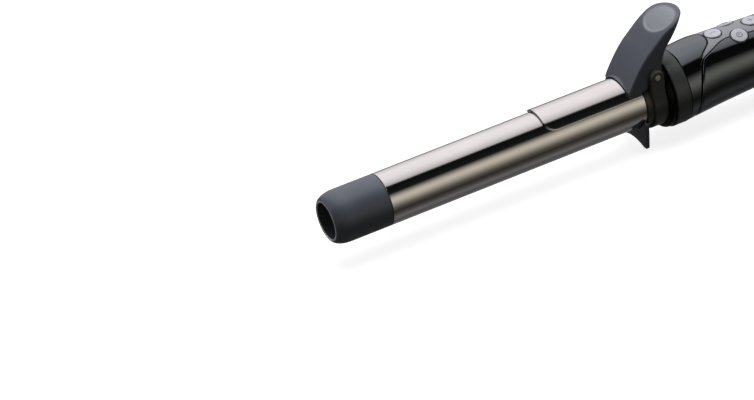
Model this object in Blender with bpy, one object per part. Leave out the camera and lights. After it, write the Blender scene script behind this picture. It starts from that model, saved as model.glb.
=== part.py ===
"""A clamp curling iron for Blender 4.5, one object for each piece, in metres with +Z up.

Run it with blender --background --python part.py or from the Text Editor.
Lengths run along X from the front of the hinge bracket: the barrel and its cool tip lie
at negative X, the handle at positive X. Z = 0 is the barrel's axis until the last step,
where one empty carries the whole iron up on to its rest foot. -Y is the iron's left side.
"""

from math import asin, cos, pi, radians, sin, sqrt, tan

import bmesh
import bpy
from mathutils import Matrix, Vector

MM = 0.001

# Clearances
GAP = 0.3 * MM  # between two pieces that touch on the real iron
PIN_PLAY = 0.1 * MM  # between the hinge pin and its holes
SWIVEL_PLAY = 0.25 * MM  # between the swivel gland and the end cap
PAST = 1 * MM  # how far a cutter runs past what it cuts

# How finely round pieces are cut
COARSE, MEDIUM, FINE = 12, 20, 32

# Barrel and cool tip
BARREL_RADIUS = 12.5 * MM
BARREL_WALL = 1.0 * MM
BARREL_LENGTH = 132.7 * MM  # in front of the bracket
BARREL_BEYOND_RINGS = 3.2 * MM
TIP_LENGTH = 27.7 * MM
TIP_TAPER = 0.4 * MM
TIP_RIM = 3.3 * MM  # from the nose's outside to the mouth
TIP_ROUNDING = 3.0 * MM
TIP_MOUTH_DRAFT = 0.4 * MM
TIP_MOUTH_DEPTH = 18 * MM
TIP_WALL = 2.0 * MM
SPIGOT_LENGTH = 10 * MM
PLUG_THICKNESS = 8 * MM
PLUG_BOSS_RADIUS = 3.2 * MM
SCREW_RADIUS = 1.2 * MM
SCREW_HEAD_RADIUS = 2.4 * MM
SCREW_HEAD_HEIGHT = 1.6 * MM
SCREW_BITE = 4.8 * MM  # of the tip's screw in the plug

# Heater
HEATER_REAR_X = -24 * MM
HEATER_FROM_PLUG = 6.7 * MM
HEATER_WALL = 1.2 * MM
HEATER_FLAT_Z = 2.2 * MM  # half the slot between the two shells
CERAMIC_HALF_WIDTH = 6 * MM
CERAMIC_SET_BACK = 7 * MM  # from each end of the shells
SENSOR_RADIUS = 1.2 * MM
SENSOR_LENGTH = 8 * MM
FUSE_RADIUS = 1.5 * MM
FUSE_LENGTH = 12 * MM
LEAD_RADIUS = 0.7 * MM
LEAD_OVERLAP = 2.5 * MM  # of each lead's end below the board
LEAD_STRAIGHT = 8 * MM  # of each lead in the barrel's rear end

# Clamp and its lever
CLAMP_GAP = 0.35 * MM  # between barrel and closed clamp
CLAMP_THICKNESS = 0.8 * MM
CLAMP_HALF_ANGLE = radians(56)
CLAMP_FRONT_X = -50.9 * MM
CLAMP_REAR_X = -1.0 * MM
CLAMP_CORNER = 6.0 * MM
LEVER_HALF_WIDTH = 11.3 * MM
LEVER_WALL = 2.3 * MM
LEVER_TOP_WALL = 2.6 * MM
LEVER_REACH = 21.0 * MM  # from the pin to the lever's end, along X
LEVER_RISE = 24.3 * MM  # from the pin to the lever's end, along Z
LEVER_OVERLAP = 6.4 * MM  # of the lever on the clamp's rear end
RIVET_RADIUS = 0.9 * MM
RIVET_SPACING = 4.5 * MM  # each side of the middle
RIVET_X = -3.6 * MM
RIVET_BITE = 2.2 * MM  # of each rivet in the lever

# Hinge bracket, pin, spring and rest foot
PIN_X = 6.2 * MM
PIN_HEIGHT = 3.2 * MM  # above the barrel
PIN_RADIUS = 1.5 * MM
PIN_PROUD = 0.2 * MM
PIN_CHAMFER = 0.3 * MM
EAR_THICKNESS = 2.6 * MM
EAR_RADIUS = 3.3 * MM
EAR_FOOT_Z = -8.5 * MM
SLEEVE_WALL = 2.0 * MM
SLEEVE_SHORT_OF_RINGS = 1.8 * MM
WINDOW_MARGIN = 0.5 * MM  # between the bracket's window and the lever's walls
SPRING_WIRE_RADIUS = 0.4 * MM
SPRING_TURNS = 5
SPRING_HALF_WIDTH = 5.2 * MM
SPRING_LEG = 8.6 * MM  # from the pin up to the lever
FOOT_THICKNESS = 2.0 * MM
FOOT_HEIGHT = 5.6 * MM  # below the sleeve
FOOT_SPREAD = 10.0 * MM  # from the middle to each foot
FOOT_FLARE = 2.6 * MM
FOOT_LAND = 1.2 * MM  # half the flat of each foot
FOOT_ARCH = 1.7 * MM

# Rings at the root of the handle
FLANGE_FROM_EARS = 0.4 * MM
FLANGE_WIDTH = 3.3 * MM
FLANGE_DEPTH = 2.1 * MM  # from its bore to its outside
FLANGE_BULGE = 1.2 * MM
COLLAR_WIDTH = 7.3 * MM
COLLAR_DEPTH = 2.7 * MM
COLLAR_EDGE = 0.6 * MM

# Bushing in the nose, then the handle's outline: radii, where they lie, and its rise
BUSHING_PROUD = 0.2 * MM  # of the bracket's sleeve
BUSHING_LIP = 1.5 * MM
BUSHING_STEP = 1 * MM  # of its lip inside the barrel's bore
HANDLE_WALL = 2.0 * MM
SHOULDER_STEP = 0.6 * MM  # from nose to shoulder
PANEL_RADIUS = 15.8 * MM
WAIST_RADIUS = 15.0 * MM
PALM_RADIUS = 15.6 * MM
END_RADIUS = 15.2 * MM
NOSE_LENGTH = 12.5 * MM
SHOULDER_FROM_NOSE = 22.9 * MM
PANEL_FROM_NOSE = 48.7 * MM
WAIST_FROM_NOSE = 77.8 * MM
PALM_FROM_END = 25 * MM
HANDLE_LENGTH = 139 * MM  # from the nose's front to the end cap
HANDLE_RISE = 1.5 * MM
NOSE_RISE = 1.2 * MM
SHOULDER_RISE = 1.35 * MM
SEAM_WIDTH = 0.4 * MM
SEAM_BELOW = 3.2 * MM  # from the nose's front to the seam, on the underside
SEAM_BESIDE = 5.3 * MM
SEAM_HIGH_UP = 10.34 * MM
SEAM_ABOVE = 18.8 * MM

# Control panel, buttons and display
PANEL_THICKNESS = 1.5 * MM
PANEL_REAR_FROM_NOSE = 86.9 * MM
PANEL_HALF_WIDTH = 7.2 * MM
PANEL_NECK_WIDTH = 5.7 * MM
PANEL_TAIL_WIDTH = 11.6 * MM
BUTTON_RADIUS = 4.0 * MM
BUTTON_PROUD = 0.5 * MM
BUTTON_EDGE = 0.35 * MM
BUTTON_TRAVEL = 0.8 * MM
BUTTON_SKIRT = 0.2 * MM  # below the panel
BUTTON_STEM_RADIUS = 1.2 * MM
BUTTON_FROM_SEAM = 0.7 * MM  # from the seam to the front button
DIAMOND_REACH = 10.2 * MM  # from the middle to the front and rear buttons
DIAMOND_ANGLE = radians(24)  # of the side buttons about the handle
DISPLAY_FROM_NOSE = 66.9 * MM
DISPLAY_LENGTH = 20 * MM
DISPLAY_WIDTH = 10 * MM
MODULE_INSET = 2 * MM  # of the display module inside its window, at each end
MODULE_SIDE_INSET = 1 * MM
MODULE_DROP = 1 * MM  # of the display module below the handle's wall

# Chassis and electronics
TRAY_CLEARANCE = 1.1 * MM  # inside the handle's narrowest place
TRAY_WALL = 1.3 * MM
TRAY_FROM_NOSE = 7.9 * MM
TRAY_FROM_END = 20.1 * MM
POST_HALF_WIDTH = 2.4 * MM
POST_DEPTH = 6 * MM  # of the screw holes in the tray's posts
BOARD_FROM_NOSE = 19.9 * MM
BOARD_LENGTH = 66 * MM
BOARD_HALF_WIDTH = 8.4 * MM
BOARD_THICKNESS = 1.2 * MM
BOARD_Z = 7.2 * MM
BOARD_SCREW_FROM_FRONT = 5 * MM
BOARD_SCREW_FROM_REAR = 4 * MM
BOARD_SCREW_INSET = 2.4 * MM
SWITCH_SIDE = 4.0 * MM
SWITCH_HEIGHT = 1.6 * MM
TRIAC_FROM_FRONT = 20 * MM
TRIAC_LENGTH, TRIAC_WIDTH, TRIAC_HEIGHT = 10 * MM, 6.5 * MM, 4.4 * MM
CAPACITOR_FROM_FRONT = 36 * MM
CAPACITOR_RADIUS = 3.2 * MM
CAPACITOR_LENGTH = 11 * MM

# End cap and swivelling cord inlet
CAP_LENGTH = 7.5 * MM
CAP_WALL = 2.4 * MM
CAP_ROUNDING = 3.2 * MM
CAP_LIP_LENGTH = 4 * MM
CAP_LIP_WALL = 1.6 * MM
GLAND_NECK_RADIUS = 6.0 * MM
GLAND_FLANGE_RADIUS = 8.6 * MM
GLAND_FLANGE_WIDTH = 2.2 * MM
GLAND_COLLAR_WIDTH = 3 * MM
GLAND_COLLAR_STEP = 1 * MM
GLAND_LENGTH = 19 * MM  # behind the end cap
GLAND_END_RADIUS = 5.0 * MM
CORD_HOLE_RADIUS = 3.4 * MM
RETAINER_WIDTH = 2 * MM
HUB_RADIUS = 5.0 * MM
HUB_LENGTH = 12 * MM
SLIP_RING_WIDTH = 2.4 * MM
SLIP_RING_WALL = 0.8 * MM
SLIP_RING_SPACE = 1.4 * MM
SLIP_RING_INSET = 0.8 * MM
RING_FIT = 0.1 * MM  # between each slip ring and the hub
BRUSH_WIDTH = 1.4 * MM
BRUSH_LIFT = 0.2 * MM
BRUSH_THICKNESS = 0.5 * MM

# Radii worked out from the sizes above
BORE_RADIUS = BARREL_RADIUS - BARREL_WALL
TIP_NOSE_RADIUS = BARREL_RADIUS - TIP_TAPER
TIP_MOUTH_RADIUS = TIP_NOSE_RADIUS - TIP_RIM
AROUND_BARREL = BARREL_RADIUS + GAP
SLEEVE_RADIUS = AROUND_BARREL + SLEEVE_WALL
AROUND_SLEEVE = SLEEVE_RADIUS + GAP
CLAMP_INNER = BARREL_RADIUS + CLAMP_GAP
CLAMP_OUTER = CLAMP_INNER + CLAMP_THICKNESS
FLANGE_RADIUS = AROUND_SLEEVE + FLANGE_DEPTH
COLLAR_RADIUS = AROUND_SLEEVE + COLLAR_DEPTH
BUSHING_RADIUS = SLEEVE_RADIUS + BUSHING_PROUD
NOSE_RADIUS = BUSHING_RADIUS + 2 * GAP + HANDLE_WALL
SHOULDER_RADIUS = NOSE_RADIUS - SHOULDER_STEP
LEVER_BOSS_RADIUS = EAR_RADIUS - 0.1 * MM
TRAY_RADIUS = min(PANEL_RADIUS, WAIST_RADIUS, PALM_RADIUS, END_RADIUS) - HANDLE_WALL - TRAY_CLEARANCE
CAP_LIP_RADIUS = END_RADIUS - HANDLE_WALL - GAP

# Places worked out from the sizes above
PIN_Z = BARREL_RADIUS + PIN_HEIGHT
FOOT_DROP = SLEEVE_RADIUS + FOOT_HEIGHT  # from the barrel's axis to the feet
EAR_INNER_Y = LEVER_HALF_WIDTH + 2 * GAP
EAR_OUTER_Y = EAR_INNER_Y + EAR_THICKNESS
FLANGE_FRONT_X = PIN_X + EAR_RADIUS + FLANGE_FROM_EARS
FLANGE_REAR_X = FLANGE_FRONT_X + FLANGE_WIDTH
COLLAR_FRONT_X = FLANGE_REAR_X + GAP
COLLAR_REAR_X = COLLAR_FRONT_X + COLLAR_WIDTH
SLEEVE_REAR_X = COLLAR_REAR_X - SLEEVE_SHORT_OF_RINGS
BARREL_REAR_X = COLLAR_REAR_X + BARREL_BEYOND_RINGS
NOSE_FRONT_X = COLLAR_REAR_X + GAP
SEAM_TOP_X = NOSE_FRONT_X + SEAM_ABOVE
HANDLE_REAR_X = NOSE_FRONT_X + HANDLE_LENGTH
CAP_FRONT_X = HANDLE_REAR_X + GAP
CAP_REAR_X = CAP_FRONT_X + CAP_LENGTH
TIP_REAR_X = -BARREL_LENGTH - GAP
TIP_FRONT_X = TIP_REAR_X - TIP_LENGTH
MOUTH_FLOOR_X = TIP_FRONT_X + TIP_MOUTH_DEPTH
PLUG_FRONT_X = TIP_REAR_X + SPIGOT_LENGTH + GAP
PLUG_REAR_X = PLUG_FRONT_X + PLUG_THICKNESS
HEATER_FRONT_X = PLUG_REAR_X + HEATER_FROM_PLUG
HEATER_MIDDLE_X = (HEATER_FRONT_X + HEATER_REAR_X) / 2
CERAMIC_REAR_X = HEATER_REAR_X - CERAMIC_SET_BACK
BESIDE_CERAMIC = CERAMIC_HALF_WIDTH + GAP + FUSE_RADIUS
PANEL_REAR_X = NOSE_FRONT_X + PANEL_REAR_FROM_NOSE
DIAMOND_X = SEAM_TOP_X + BUTTON_FROM_SEAM + BUTTON_RADIUS + DIAMOND_REACH
DISPLAY_X = NOSE_FRONT_X + DISPLAY_FROM_NOSE
TRAY_FRONT_X = NOSE_FRONT_X + TRAY_FROM_NOSE
TRAY_REAR_X = HANDLE_REAR_X - TRAY_FROM_END
BOARD_FRONT_X = NOSE_FRONT_X + BOARD_FROM_NOSE
BOARD_REAR_X = BOARD_FRONT_X + BOARD_LENGTH
BOARD_TOP = BOARD_Z + BOARD_THICKNESS
BOARD_SCREW_Y = BOARD_SCREW_INSET - BOARD_HALF_WIDTH
BOARD_SCREWS = (("front", BOARD_FRONT_X + BOARD_SCREW_FROM_FRONT),
                ("rear", BOARD_REAR_X - BOARD_SCREW_FROM_REAR))


def paint(name, colour, roughness, metallic=0.0):
    """A plain material, made once for each name."""
    found = bpy.data.materials.get(name)
    if found:
        return found
    made = bpy.data.materials.new(name)
    made.use_nodes = True
    shader = made.node_tree.nodes["Principled BSDF"]
    shader.inputs["Base Color"].default_value = (*colour, 1)
    shader.inputs["Roughness"].default_value = roughness
    shader.inputs["Metallic"].default_value = metallic
    return made


def mirror_metal():
    return paint("polished_barrel", (0.62, 0.60, 0.58), 0.12, 1.0)


def satin_slate():
    return paint("satin_slate_plastic", (0.045, 0.05, 0.065), 0.42)


def gloss_black():
    return paint("gloss_black_plastic", (0.012, 0.012, 0.013), 0.12)


def satin_black():
    return paint("satin_black_plastic", (0.02, 0.021, 0.022), 0.4)


def panel_grey():
    return paint("panel_grey", (0.16, 0.165, 0.18), 0.38)


def button_silver():
    return paint("button_silver", (0.42, 0.43, 0.45), 0.35)


def steel():
    return paint("steel", (0.55, 0.55, 0.54), 0.3, 1.0)


def brass():
    return paint("brass", (0.72, 0.6, 0.35), 0.3, 1.0)


def bare_aluminium():
    return paint("aluminium", (0.7, 0.7, 0.7), 0.45, 1.0)


def ceramic_white():
    return paint("ceramic", (0.8, 0.78, 0.72), 0.6)


def heat_resin():
    return paint("heat_resin", (0.1, 0.08, 0.06), 0.6)


def board_green():
    return paint("circuit_board", (0.03, 0.16, 0.07), 0.5)


def lead_sleeve():
    return paint("lead_sleeve", (0.55, 0.5, 0.42), 0.7)


def tinted_lens():
    return paint("tinted_lens", (0.03, 0.03, 0.035), 0.05)


def clear_scene():
    for old in list(bpy.data.objects):
        bpy.data.objects.remove(old, do_unlink=True)


def piece(name, bm, material, origin=(0, 0, 0)):
    """Turns bm into an object whose own origin is at the given place."""
    bmesh.ops.recalc_face_normals(bm, faces=bm.faces)
    bmesh.ops.translate(bm, verts=bm.verts, vec=-Vector(origin))
    mesh = bpy.data.meshes.new(name)
    bm.to_mesh(mesh)
    bm.free()
    mesh.shade_smooth()
    mesh.set_sharp_from_angle(angle=radians(35))
    made = bpy.data.objects.new(name, mesh)
    made.location = origin
    made.parent = IRON
    made.data.materials.append(material)
    bpy.context.scene.collection.objects.link(made)
    return made


def cutter(name, bm):
    made = piece(name, bm, satin_black())
    made.hide_render = True
    made.display_type = "WIRE"
    return made


def combine(target, operation, *tools):
    for tool in tools:
        step = target.modifiers.new(f"{operation.lower()}_{tool.name}", "BOOLEAN")
        step.operation = operation
        step.object = tool


def lofted(stations, steps, ring=True):
    """Circles of (x, radius, height of centre), joined in order. A ring closes on itself."""
    bm = bmesh.new()
    circles = []
    for x, radius, height in stations:
        if radius == 0:
            circles.append([bm.verts.new((x, 0, height))])
            continue
        turn = [2 * pi * step / steps for step in range(steps)]
        circles.append([bm.verts.new((x, radius * sin(a), height + radius * cos(a))) for a in turn])
    pairs = list(zip(circles, circles[1:]))
    if ring:
        pairs.append((circles[-1], circles[0]))
    for first, second in pairs:
        for step in range(steps):
            corners = [first[step % len(first)], first[(step + 1) % len(first)]]
            corners += [second[(step + 1) % len(second)], second[step % len(second)]]
            bm.faces.new(list(dict.fromkeys(corners)))
    return bm


def turned(profile, steps, ring=True, height=0.0):
    """A shape turned about the line at this height that runs along X, from (x, radius) points."""
    return lofted([(x, radius, height) for x, radius in profile], steps, ring)


def tube(front_x, rear_x, inner, outer, steps, height=0.0):
    corners = [(front_x, outer), (rear_x, outer), (rear_x, inner), (front_x, inner)]
    return turned(corners, steps, height=height)


def rod(front_x, rear_x, radius, steps, height=0.0):
    return turned([(front_x, 0), (front_x, radius), (rear_x, radius), (rear_x, 0)], steps, False, height)


def moved(bm, place):
    bmesh.ops.transform(bm, matrix=place, verts=bm.verts)
    return bm


def post(centre, direction, low, high, radius, steps):
    """A round post from low to high along a direction through a point."""
    turn = Vector((1, 0, 0)).rotation_difference(Vector(direction)).to_matrix().to_4x4()
    return moved(rod(low, high, radius, steps), Matrix.Translation(centre) @ turn)


def block(low, high):
    bm = bmesh.new()
    size = [b - a for a, b in zip(low, high)]
    middle = [(a + b) / 2 for a, b in zip(low, high)]
    bmesh.ops.create_cube(bm, size=1)
    return moved(bm, Matrix.Translation(middle) @ Matrix.Diagonal((*size, 1)))


def prism(outline, along, low, high):
    """An outline pushed along X, Y or Z. Its points hold the other two coordinates in order."""
    bm = bmesh.new()
    ends = []
    for level in (low, high):
        points = [list(point) for point in outline]
        for point in points:
            point.insert("XYZ".index(along), level)
        ends.append([bm.verts.new(point) for point in points])
    first, second = ends
    bm.faces.new(first)
    bm.faces.new(second)
    for index in range(len(outline)):
        after = (index + 1) % len(outline)
        bm.faces.new((first[index], first[after], second[after], second[index]))
    return bm


def arc(centre, radius, start, end, steps):
    """Points on a circle, with angles in degrees from the first axis towards the second."""
    angles = [radians(start + (end - start) * step / steps) for step in range(steps + 1)]
    return [(centre[0] + radius * cos(a), centre[1] + radius * sin(a)) for a in angles]


def smooth(points, steps):
    """A Catmull-Rom curve through the points, with this many steps between each two."""
    points = [Vector(point) for point in points]
    padded = [2 * points[0] - points[1], *points, 2 * points[-1] - points[-2]]
    curve = []
    for index in range(len(points) - 1):
        before, start, end, after = padded[index : index + 4]
        for step in range(steps):
            t = step / steps
            curve.append(
                (2 * start + (end - before) * t + (2 * before - 5 * start + 4 * end - after) * t**2
                 + (3 * start - before - 3 * end + after) * t**3) / 2
            )
    return [tuple(point) for point in [*curve, points[-1]]]


def wire(name, route, radius, material, origin=(0, 0, 0)):
    """A round wire along a route of points."""
    curve = bpy.data.curves.new(name, "CURVE")
    curve.dimensions = "3D"
    curve.bevel_depth = radius
    curve.bevel_resolution = 1
    curve.use_fill_caps = True
    spline = curve.splines.new("POLY")
    spline.points.add(len(route) - 1)
    for point, place in zip(spline.points, route):
        point.co = (*(Vector(place) - Vector(origin)), 1)
    made = bpy.data.objects.new(name, curve)
    made.location = origin
    made.parent = IRON
    curve.materials.append(material)
    bpy.context.scene.collection.objects.link(made)
    return made


def handle_outline():
    """(x, radius, height of centre) down the handle, from the nose's front to the end cap."""
    return [
        (NOSE_FRONT_X, NOSE_RADIUS, 0),
        (NOSE_FRONT_X + NOSE_LENGTH, NOSE_RADIUS, NOSE_RISE),
        (NOSE_FRONT_X + SHOULDER_FROM_NOSE, SHOULDER_RADIUS, SHOULDER_RISE),
        (NOSE_FRONT_X + PANEL_FROM_NOSE, PANEL_RADIUS, HANDLE_RISE),
        (NOSE_FRONT_X + WAIST_FROM_NOSE, WAIST_RADIUS, HANDLE_RISE),
        (HANDLE_REAR_X - PALM_FROM_END, PALM_RADIUS, HANDLE_RISE),
        (HANDLE_REAR_X, END_RADIUS, HANDLE_RISE),
    ]


def handle_at(x):
    """Radius and height of centre of the handle's outside at this x."""
    curve = smooth(handle_outline(), 8)
    for first, second in zip(curve, curve[1:]):
        if first[0] <= x <= second[0]:
            share = (x - first[0]) / (second[0] - first[0])
            return [a + (b - a) * share for a, b in zip(first[1:], second[1:])]
    return curve[-1][1:] if x > curve[-1][0] else curve[0][1:]


def handle_shell(front_x, rear_x, outside, inside, stations, steps=FINE):
    """A stretch of the handle's wall, from one distance inside its surface to another."""
    places = [front_x + (rear_x - front_x) * step / stations for step in range(stations + 1)]
    rings = []
    for depth, run in ((outside, places), (inside, places[::-1])):
        for x in run:
            radius, height = handle_at(x)
            rings.append((x, radius - depth, height))
    return lofted(rings, steps)


def seam_line(shift):
    """(x, z) of the slanting joint between nose and handle, seen from the side."""
    x = NOSE_FRONT_X + shift
    radius, height = handle_at(SEAM_TOP_X)
    return smooth(
        [
            (x + SEAM_BELOW, -NOSE_RADIUS - 2 * PAST),
            (x + SEAM_BESIDE, height),
            (x + SEAM_HIGH_UP, height + 0.76 * radius),
            (x + SEAM_ABOVE, height + radius),
            (x + SEAM_ABOVE + PAST, height + radius + 4 * PAST),
        ],
        5,
    )


def cool_tip():
    """Heat-safe end that the other hand holds: a cup with a spigot that plugs the barrel."""
    corner = (TIP_FRONT_X + TIP_ROUNDING, TIP_NOSE_RADIUS - TIP_ROUNDING)
    nose = arc(corner, TIP_ROUNDING, 90, 180, 5)
    floor_rear = MOUTH_FLOOR_X + TIP_WALL
    spigot = BORE_RADIUS - GAP
    profile = [
        (floor_rear, SCREW_RADIUS + GAP),
        (MOUTH_FLOOR_X, SCREW_RADIUS + GAP),
        (MOUTH_FLOOR_X, TIP_MOUTH_RADIUS - TIP_MOUTH_DRAFT),
        (TIP_FRONT_X, TIP_MOUTH_RADIUS),
        *reversed(nose),
        (TIP_REAR_X, BARREL_RADIUS),
        (TIP_REAR_X, spigot),
        (TIP_REAR_X + SPIGOT_LENGTH, spigot),
        (TIP_REAR_X + SPIGOT_LENGTH, spigot - TIP_WALL),
        (floor_rear, spigot - TIP_WALL),
    ]
    piece("cool_tip", turned(profile, FINE), satin_slate())


def tip_fixing():
    """The screw through the floor of the tip and the metal plug that it bites into."""
    boss_front = MOUTH_FLOOR_X + TIP_WALL + GAP
    head_rear = MOUTH_FLOOR_X - GAP
    screw_end = PLUG_FRONT_X + SCREW_BITE
    hole = SCREW_RADIUS + GAP
    screw = [
        (head_rear - SCREW_HEAD_HEIGHT, 0),
        (head_rear - SCREW_HEAD_HEIGHT, 0.7 * SCREW_HEAD_RADIUS),
        (head_rear - 0.5 * SCREW_HEAD_HEIGHT, SCREW_HEAD_RADIUS),
        (head_rear, SCREW_HEAD_RADIUS),
        (head_rear, SCREW_RADIUS),
        (screw_end, SCREW_RADIUS),
        (screw_end, 0),
    ]
    piece("tip_screw", turned(screw, COARSE, ring=False), steel())
    plug = [
        (screw_end + GAP, 0),
        (screw_end + GAP, hole),
        (boss_front, hole),
        (boss_front, PLUG_BOSS_RADIUS),
        (PLUG_FRONT_X, PLUG_BOSS_RADIUS),
        (PLUG_FRONT_X, BORE_RADIUS - GAP),
        (PLUG_REAR_X, BORE_RADIUS - GAP),
        (PLUG_REAR_X, 0),
    ]
    piece("barrel_plug", turned(plug, MEDIUM, ring=False), bare_aluminium())


def barrel_tube():
    shell = tube(-BARREL_LENGTH, BARREL_REAR_X, BORE_RADIUS, BARREL_RADIUS, FINE)
    piece("barrel_tube", shell, mirror_metal())


def heater_shell(name, side):
    """Half of the heat spreader: a hollow D section that lies against the barrel's bore."""
    outer = BORE_RADIUS - GAP
    inner = outer - HEATER_WALL
    flat = HEATER_FLAT_Z + HEATER_WALL
    lean = asin(HEATER_FLAT_Z / outer) * 180 / pi
    inner_lean = asin(flat / inner) * 180 / pi
    bm = prism([(y, side * z) for y, z in arc((0, 0), outer, lean, 180 - lean, 16)],
               "X", HEATER_FRONT_X, HEATER_REAR_X)
    shell = piece(name, bm, bare_aluminium())
    hollow = prism([(y, side * z) for y, z in arc((0, 0), inner, inner_lean, 180 - inner_lean, 14)],
                   "X", HEATER_FRONT_X - PAST, HEATER_REAR_X + PAST)
    combine(shell, "DIFFERENCE", cutter(f"{name}_hollow", hollow))


def heater():
    """Two shells, the ceramic element between them, its sensor and its fuse."""
    heater_shell("heater_shell_upper", 1)
    heater_shell("heater_shell_lower", -1)
    half_height = HEATER_FLAT_Z - GAP
    low = (HEATER_FRONT_X + CERAMIC_SET_BACK, -CERAMIC_HALF_WIDTH, -half_height)
    high = (CERAMIC_REAR_X, CERAMIC_HALF_WIDTH, half_height)
    piece("ceramic_heater", block(low, high), ceramic_white())
    for name, side, radius, length in (
        ("thermistor", 1, SENSOR_RADIUS, SENSOR_LENGTH),
        ("thermal_fuse", -1, FUSE_RADIUS, FUSE_LENGTH),
    ):
        bead = moved(rod(HEATER_MIDDLE_X, HEATER_MIDDLE_X + length, radius, COARSE),
                     Matrix.Translation((0, side * BESIDE_CERAMIC, 0)))
        piece(name, bead, heat_resin() if side > 0 else steel())


def leads():
    """The insulated wires from the heater, the fuse and the sensor back to the board."""
    leave = BARREL_REAR_X - LEAD_STRAIGHT
    end_x = BOARD_FRONT_X + LEAD_OVERLAP
    end_z = BOARD_Z - GAP - LEAD_RADIUS
    for name, start_x, start_y in (
        ("heater_lead_neutral", CERAMIC_REAR_X, 0),
        ("heater_lead_live", HEATER_MIDDLE_X + FUSE_LENGTH, -BESIDE_CERAMIC),
        ("sensor_lead", HEATER_MIDDLE_X + SENSOR_LENGTH, BESIDE_CERAMIC),
    ):
        end_y = 0.5 * start_y
        route = [
            (start_x + GAP, start_y, 0),
            (0.5 * (start_x + leave), start_y, 0),
            (leave, start_y, 0),
            (leave + 7 * MM, 0.5 * (start_y + end_y), 0.3 * end_z),
            (end_x - 6 * MM, end_y, 0.9 * end_z),
            (end_x, end_y, end_z),
        ]
        wire(name, smooth(route, 3), LEAD_RADIUS, lead_sleeve())


def barrel_bushing():
    """Heat-proof ring that seats the barrel's rear end in the nose of the handle."""
    front = SLEEVE_REAR_X + GAP
    rear = BARREL_REAR_X + GAP + BUSHING_LIP
    profile = [
        (front, BUSHING_RADIUS),
        (rear, BUSHING_RADIUS),
        (rear, BORE_RADIUS - BUSHING_STEP),
        (rear - BUSHING_LIP, BORE_RADIUS - BUSHING_STEP),
        (rear - BUSHING_LIP, AROUND_BARREL),
        (front, AROUND_BARREL),
    ]
    piece("barrel_bushing", turned(profile, FINE), heat_resin())


def clamp_plate():
    """Curved sheet that presses the hair on to the barrel, with rounded front corners."""
    pivot = (PIN_X, 0, PIN_Z)
    angle = CLAMP_HALF_ANGLE * 180 / pi
    over = arc((0, 0), CLAMP_OUTER, 90 - angle, 90 + angle, 20)
    under = arc((0, 0), CLAMP_INNER, 90 + angle, 90 - angle, 20)
    sheet = piece("clamp_plate", prism(over + under, "X", CLAMP_FRONT_X, CLAMP_REAR_X),
                  mirror_metal(), pivot)
    edge = CLAMP_OUTER * sin(CLAMP_HALF_ANGLE)
    for side in (-1, 1):
        centre = (CLAMP_FRONT_X + CLAMP_CORNER, side * (edge - CLAMP_CORNER))
        quarter = arc(centre, CLAMP_CORNER, 180, 180 - 90 * side, 6)
        outline = [*quarter, (centre[0], side * (edge + PAST)),
                   (CLAMP_FRONT_X - PAST, side * (edge + PAST)), (CLAMP_FRONT_X - PAST, centre[1])]
        combine(sheet, "DIFFERENCE",
                cutter(f"clamp_corner_{side + 1}", prism(outline, "Z", 0, 2 * CLAMP_OUTER)))
        hole = post((RIVET_X, side * RIVET_SPACING, 0), (0, 0, 1), BARREL_RADIUS / 2,
                    2 * CLAMP_OUTER, RIVET_RADIUS + GAP, COARSE)
        combine(sheet, "DIFFERENCE", cutter(f"clamp_rivet_hole_{side + 1}", hole))


def lever_top(inset):
    """(x, z) along the lever's top from its foot to its end, or this far below that."""
    end_x, end_z = PIN_X + LEVER_REACH, PIN_Z + LEVER_RISE
    return smooth(
        [
            (CLAMP_REAR_X - LEVER_OVERLAP + inset, CLAMP_OUTER - 0.55 * MM - 0.8 * inset),
            (CLAMP_REAR_X - LEVER_OVERLAP / 2 + 0.8 * inset, CLAMP_OUTER + 3.65 * MM - 0.6 * inset),
            (PIN_X - 3.2 * MM + 0.75 * inset, PIN_Z + 9.9 * MM - 0.7 * inset),
            (PIN_X + 4.9 * MM + 0.6 * inset, PIN_Z + 17.5 * MM - 0.8 * inset),
            (PIN_X + 12.1 * MM + 0.4 * inset, PIN_Z + 21.9 * MM - inset),
            (end_x, end_z - inset),
        ],
        4,
    )


def lever_back():
    """(x, z) along the edge of the lever's side walls, from its end down to the pin's boss."""
    end_x, end_z = PIN_X + LEVER_REACH, PIN_Z + LEVER_RISE
    return smooth(
        [
            (end_x - 1.7 * MM, end_z - 3.0 * MM),
            (PIN_X + 12.9 * MM, PIN_Z + 17.6 * MM),
            (PIN_X + 7.7 * MM, PIN_Z + 12.4 * MM),
            (PIN_X + 4.6 * MM, PIN_Z + 6.0 * MM),
            (PIN_X + LEVER_BOSS_RADIUS, PIN_Z + 1.0 * MM),
        ],
        4,
    )


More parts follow.
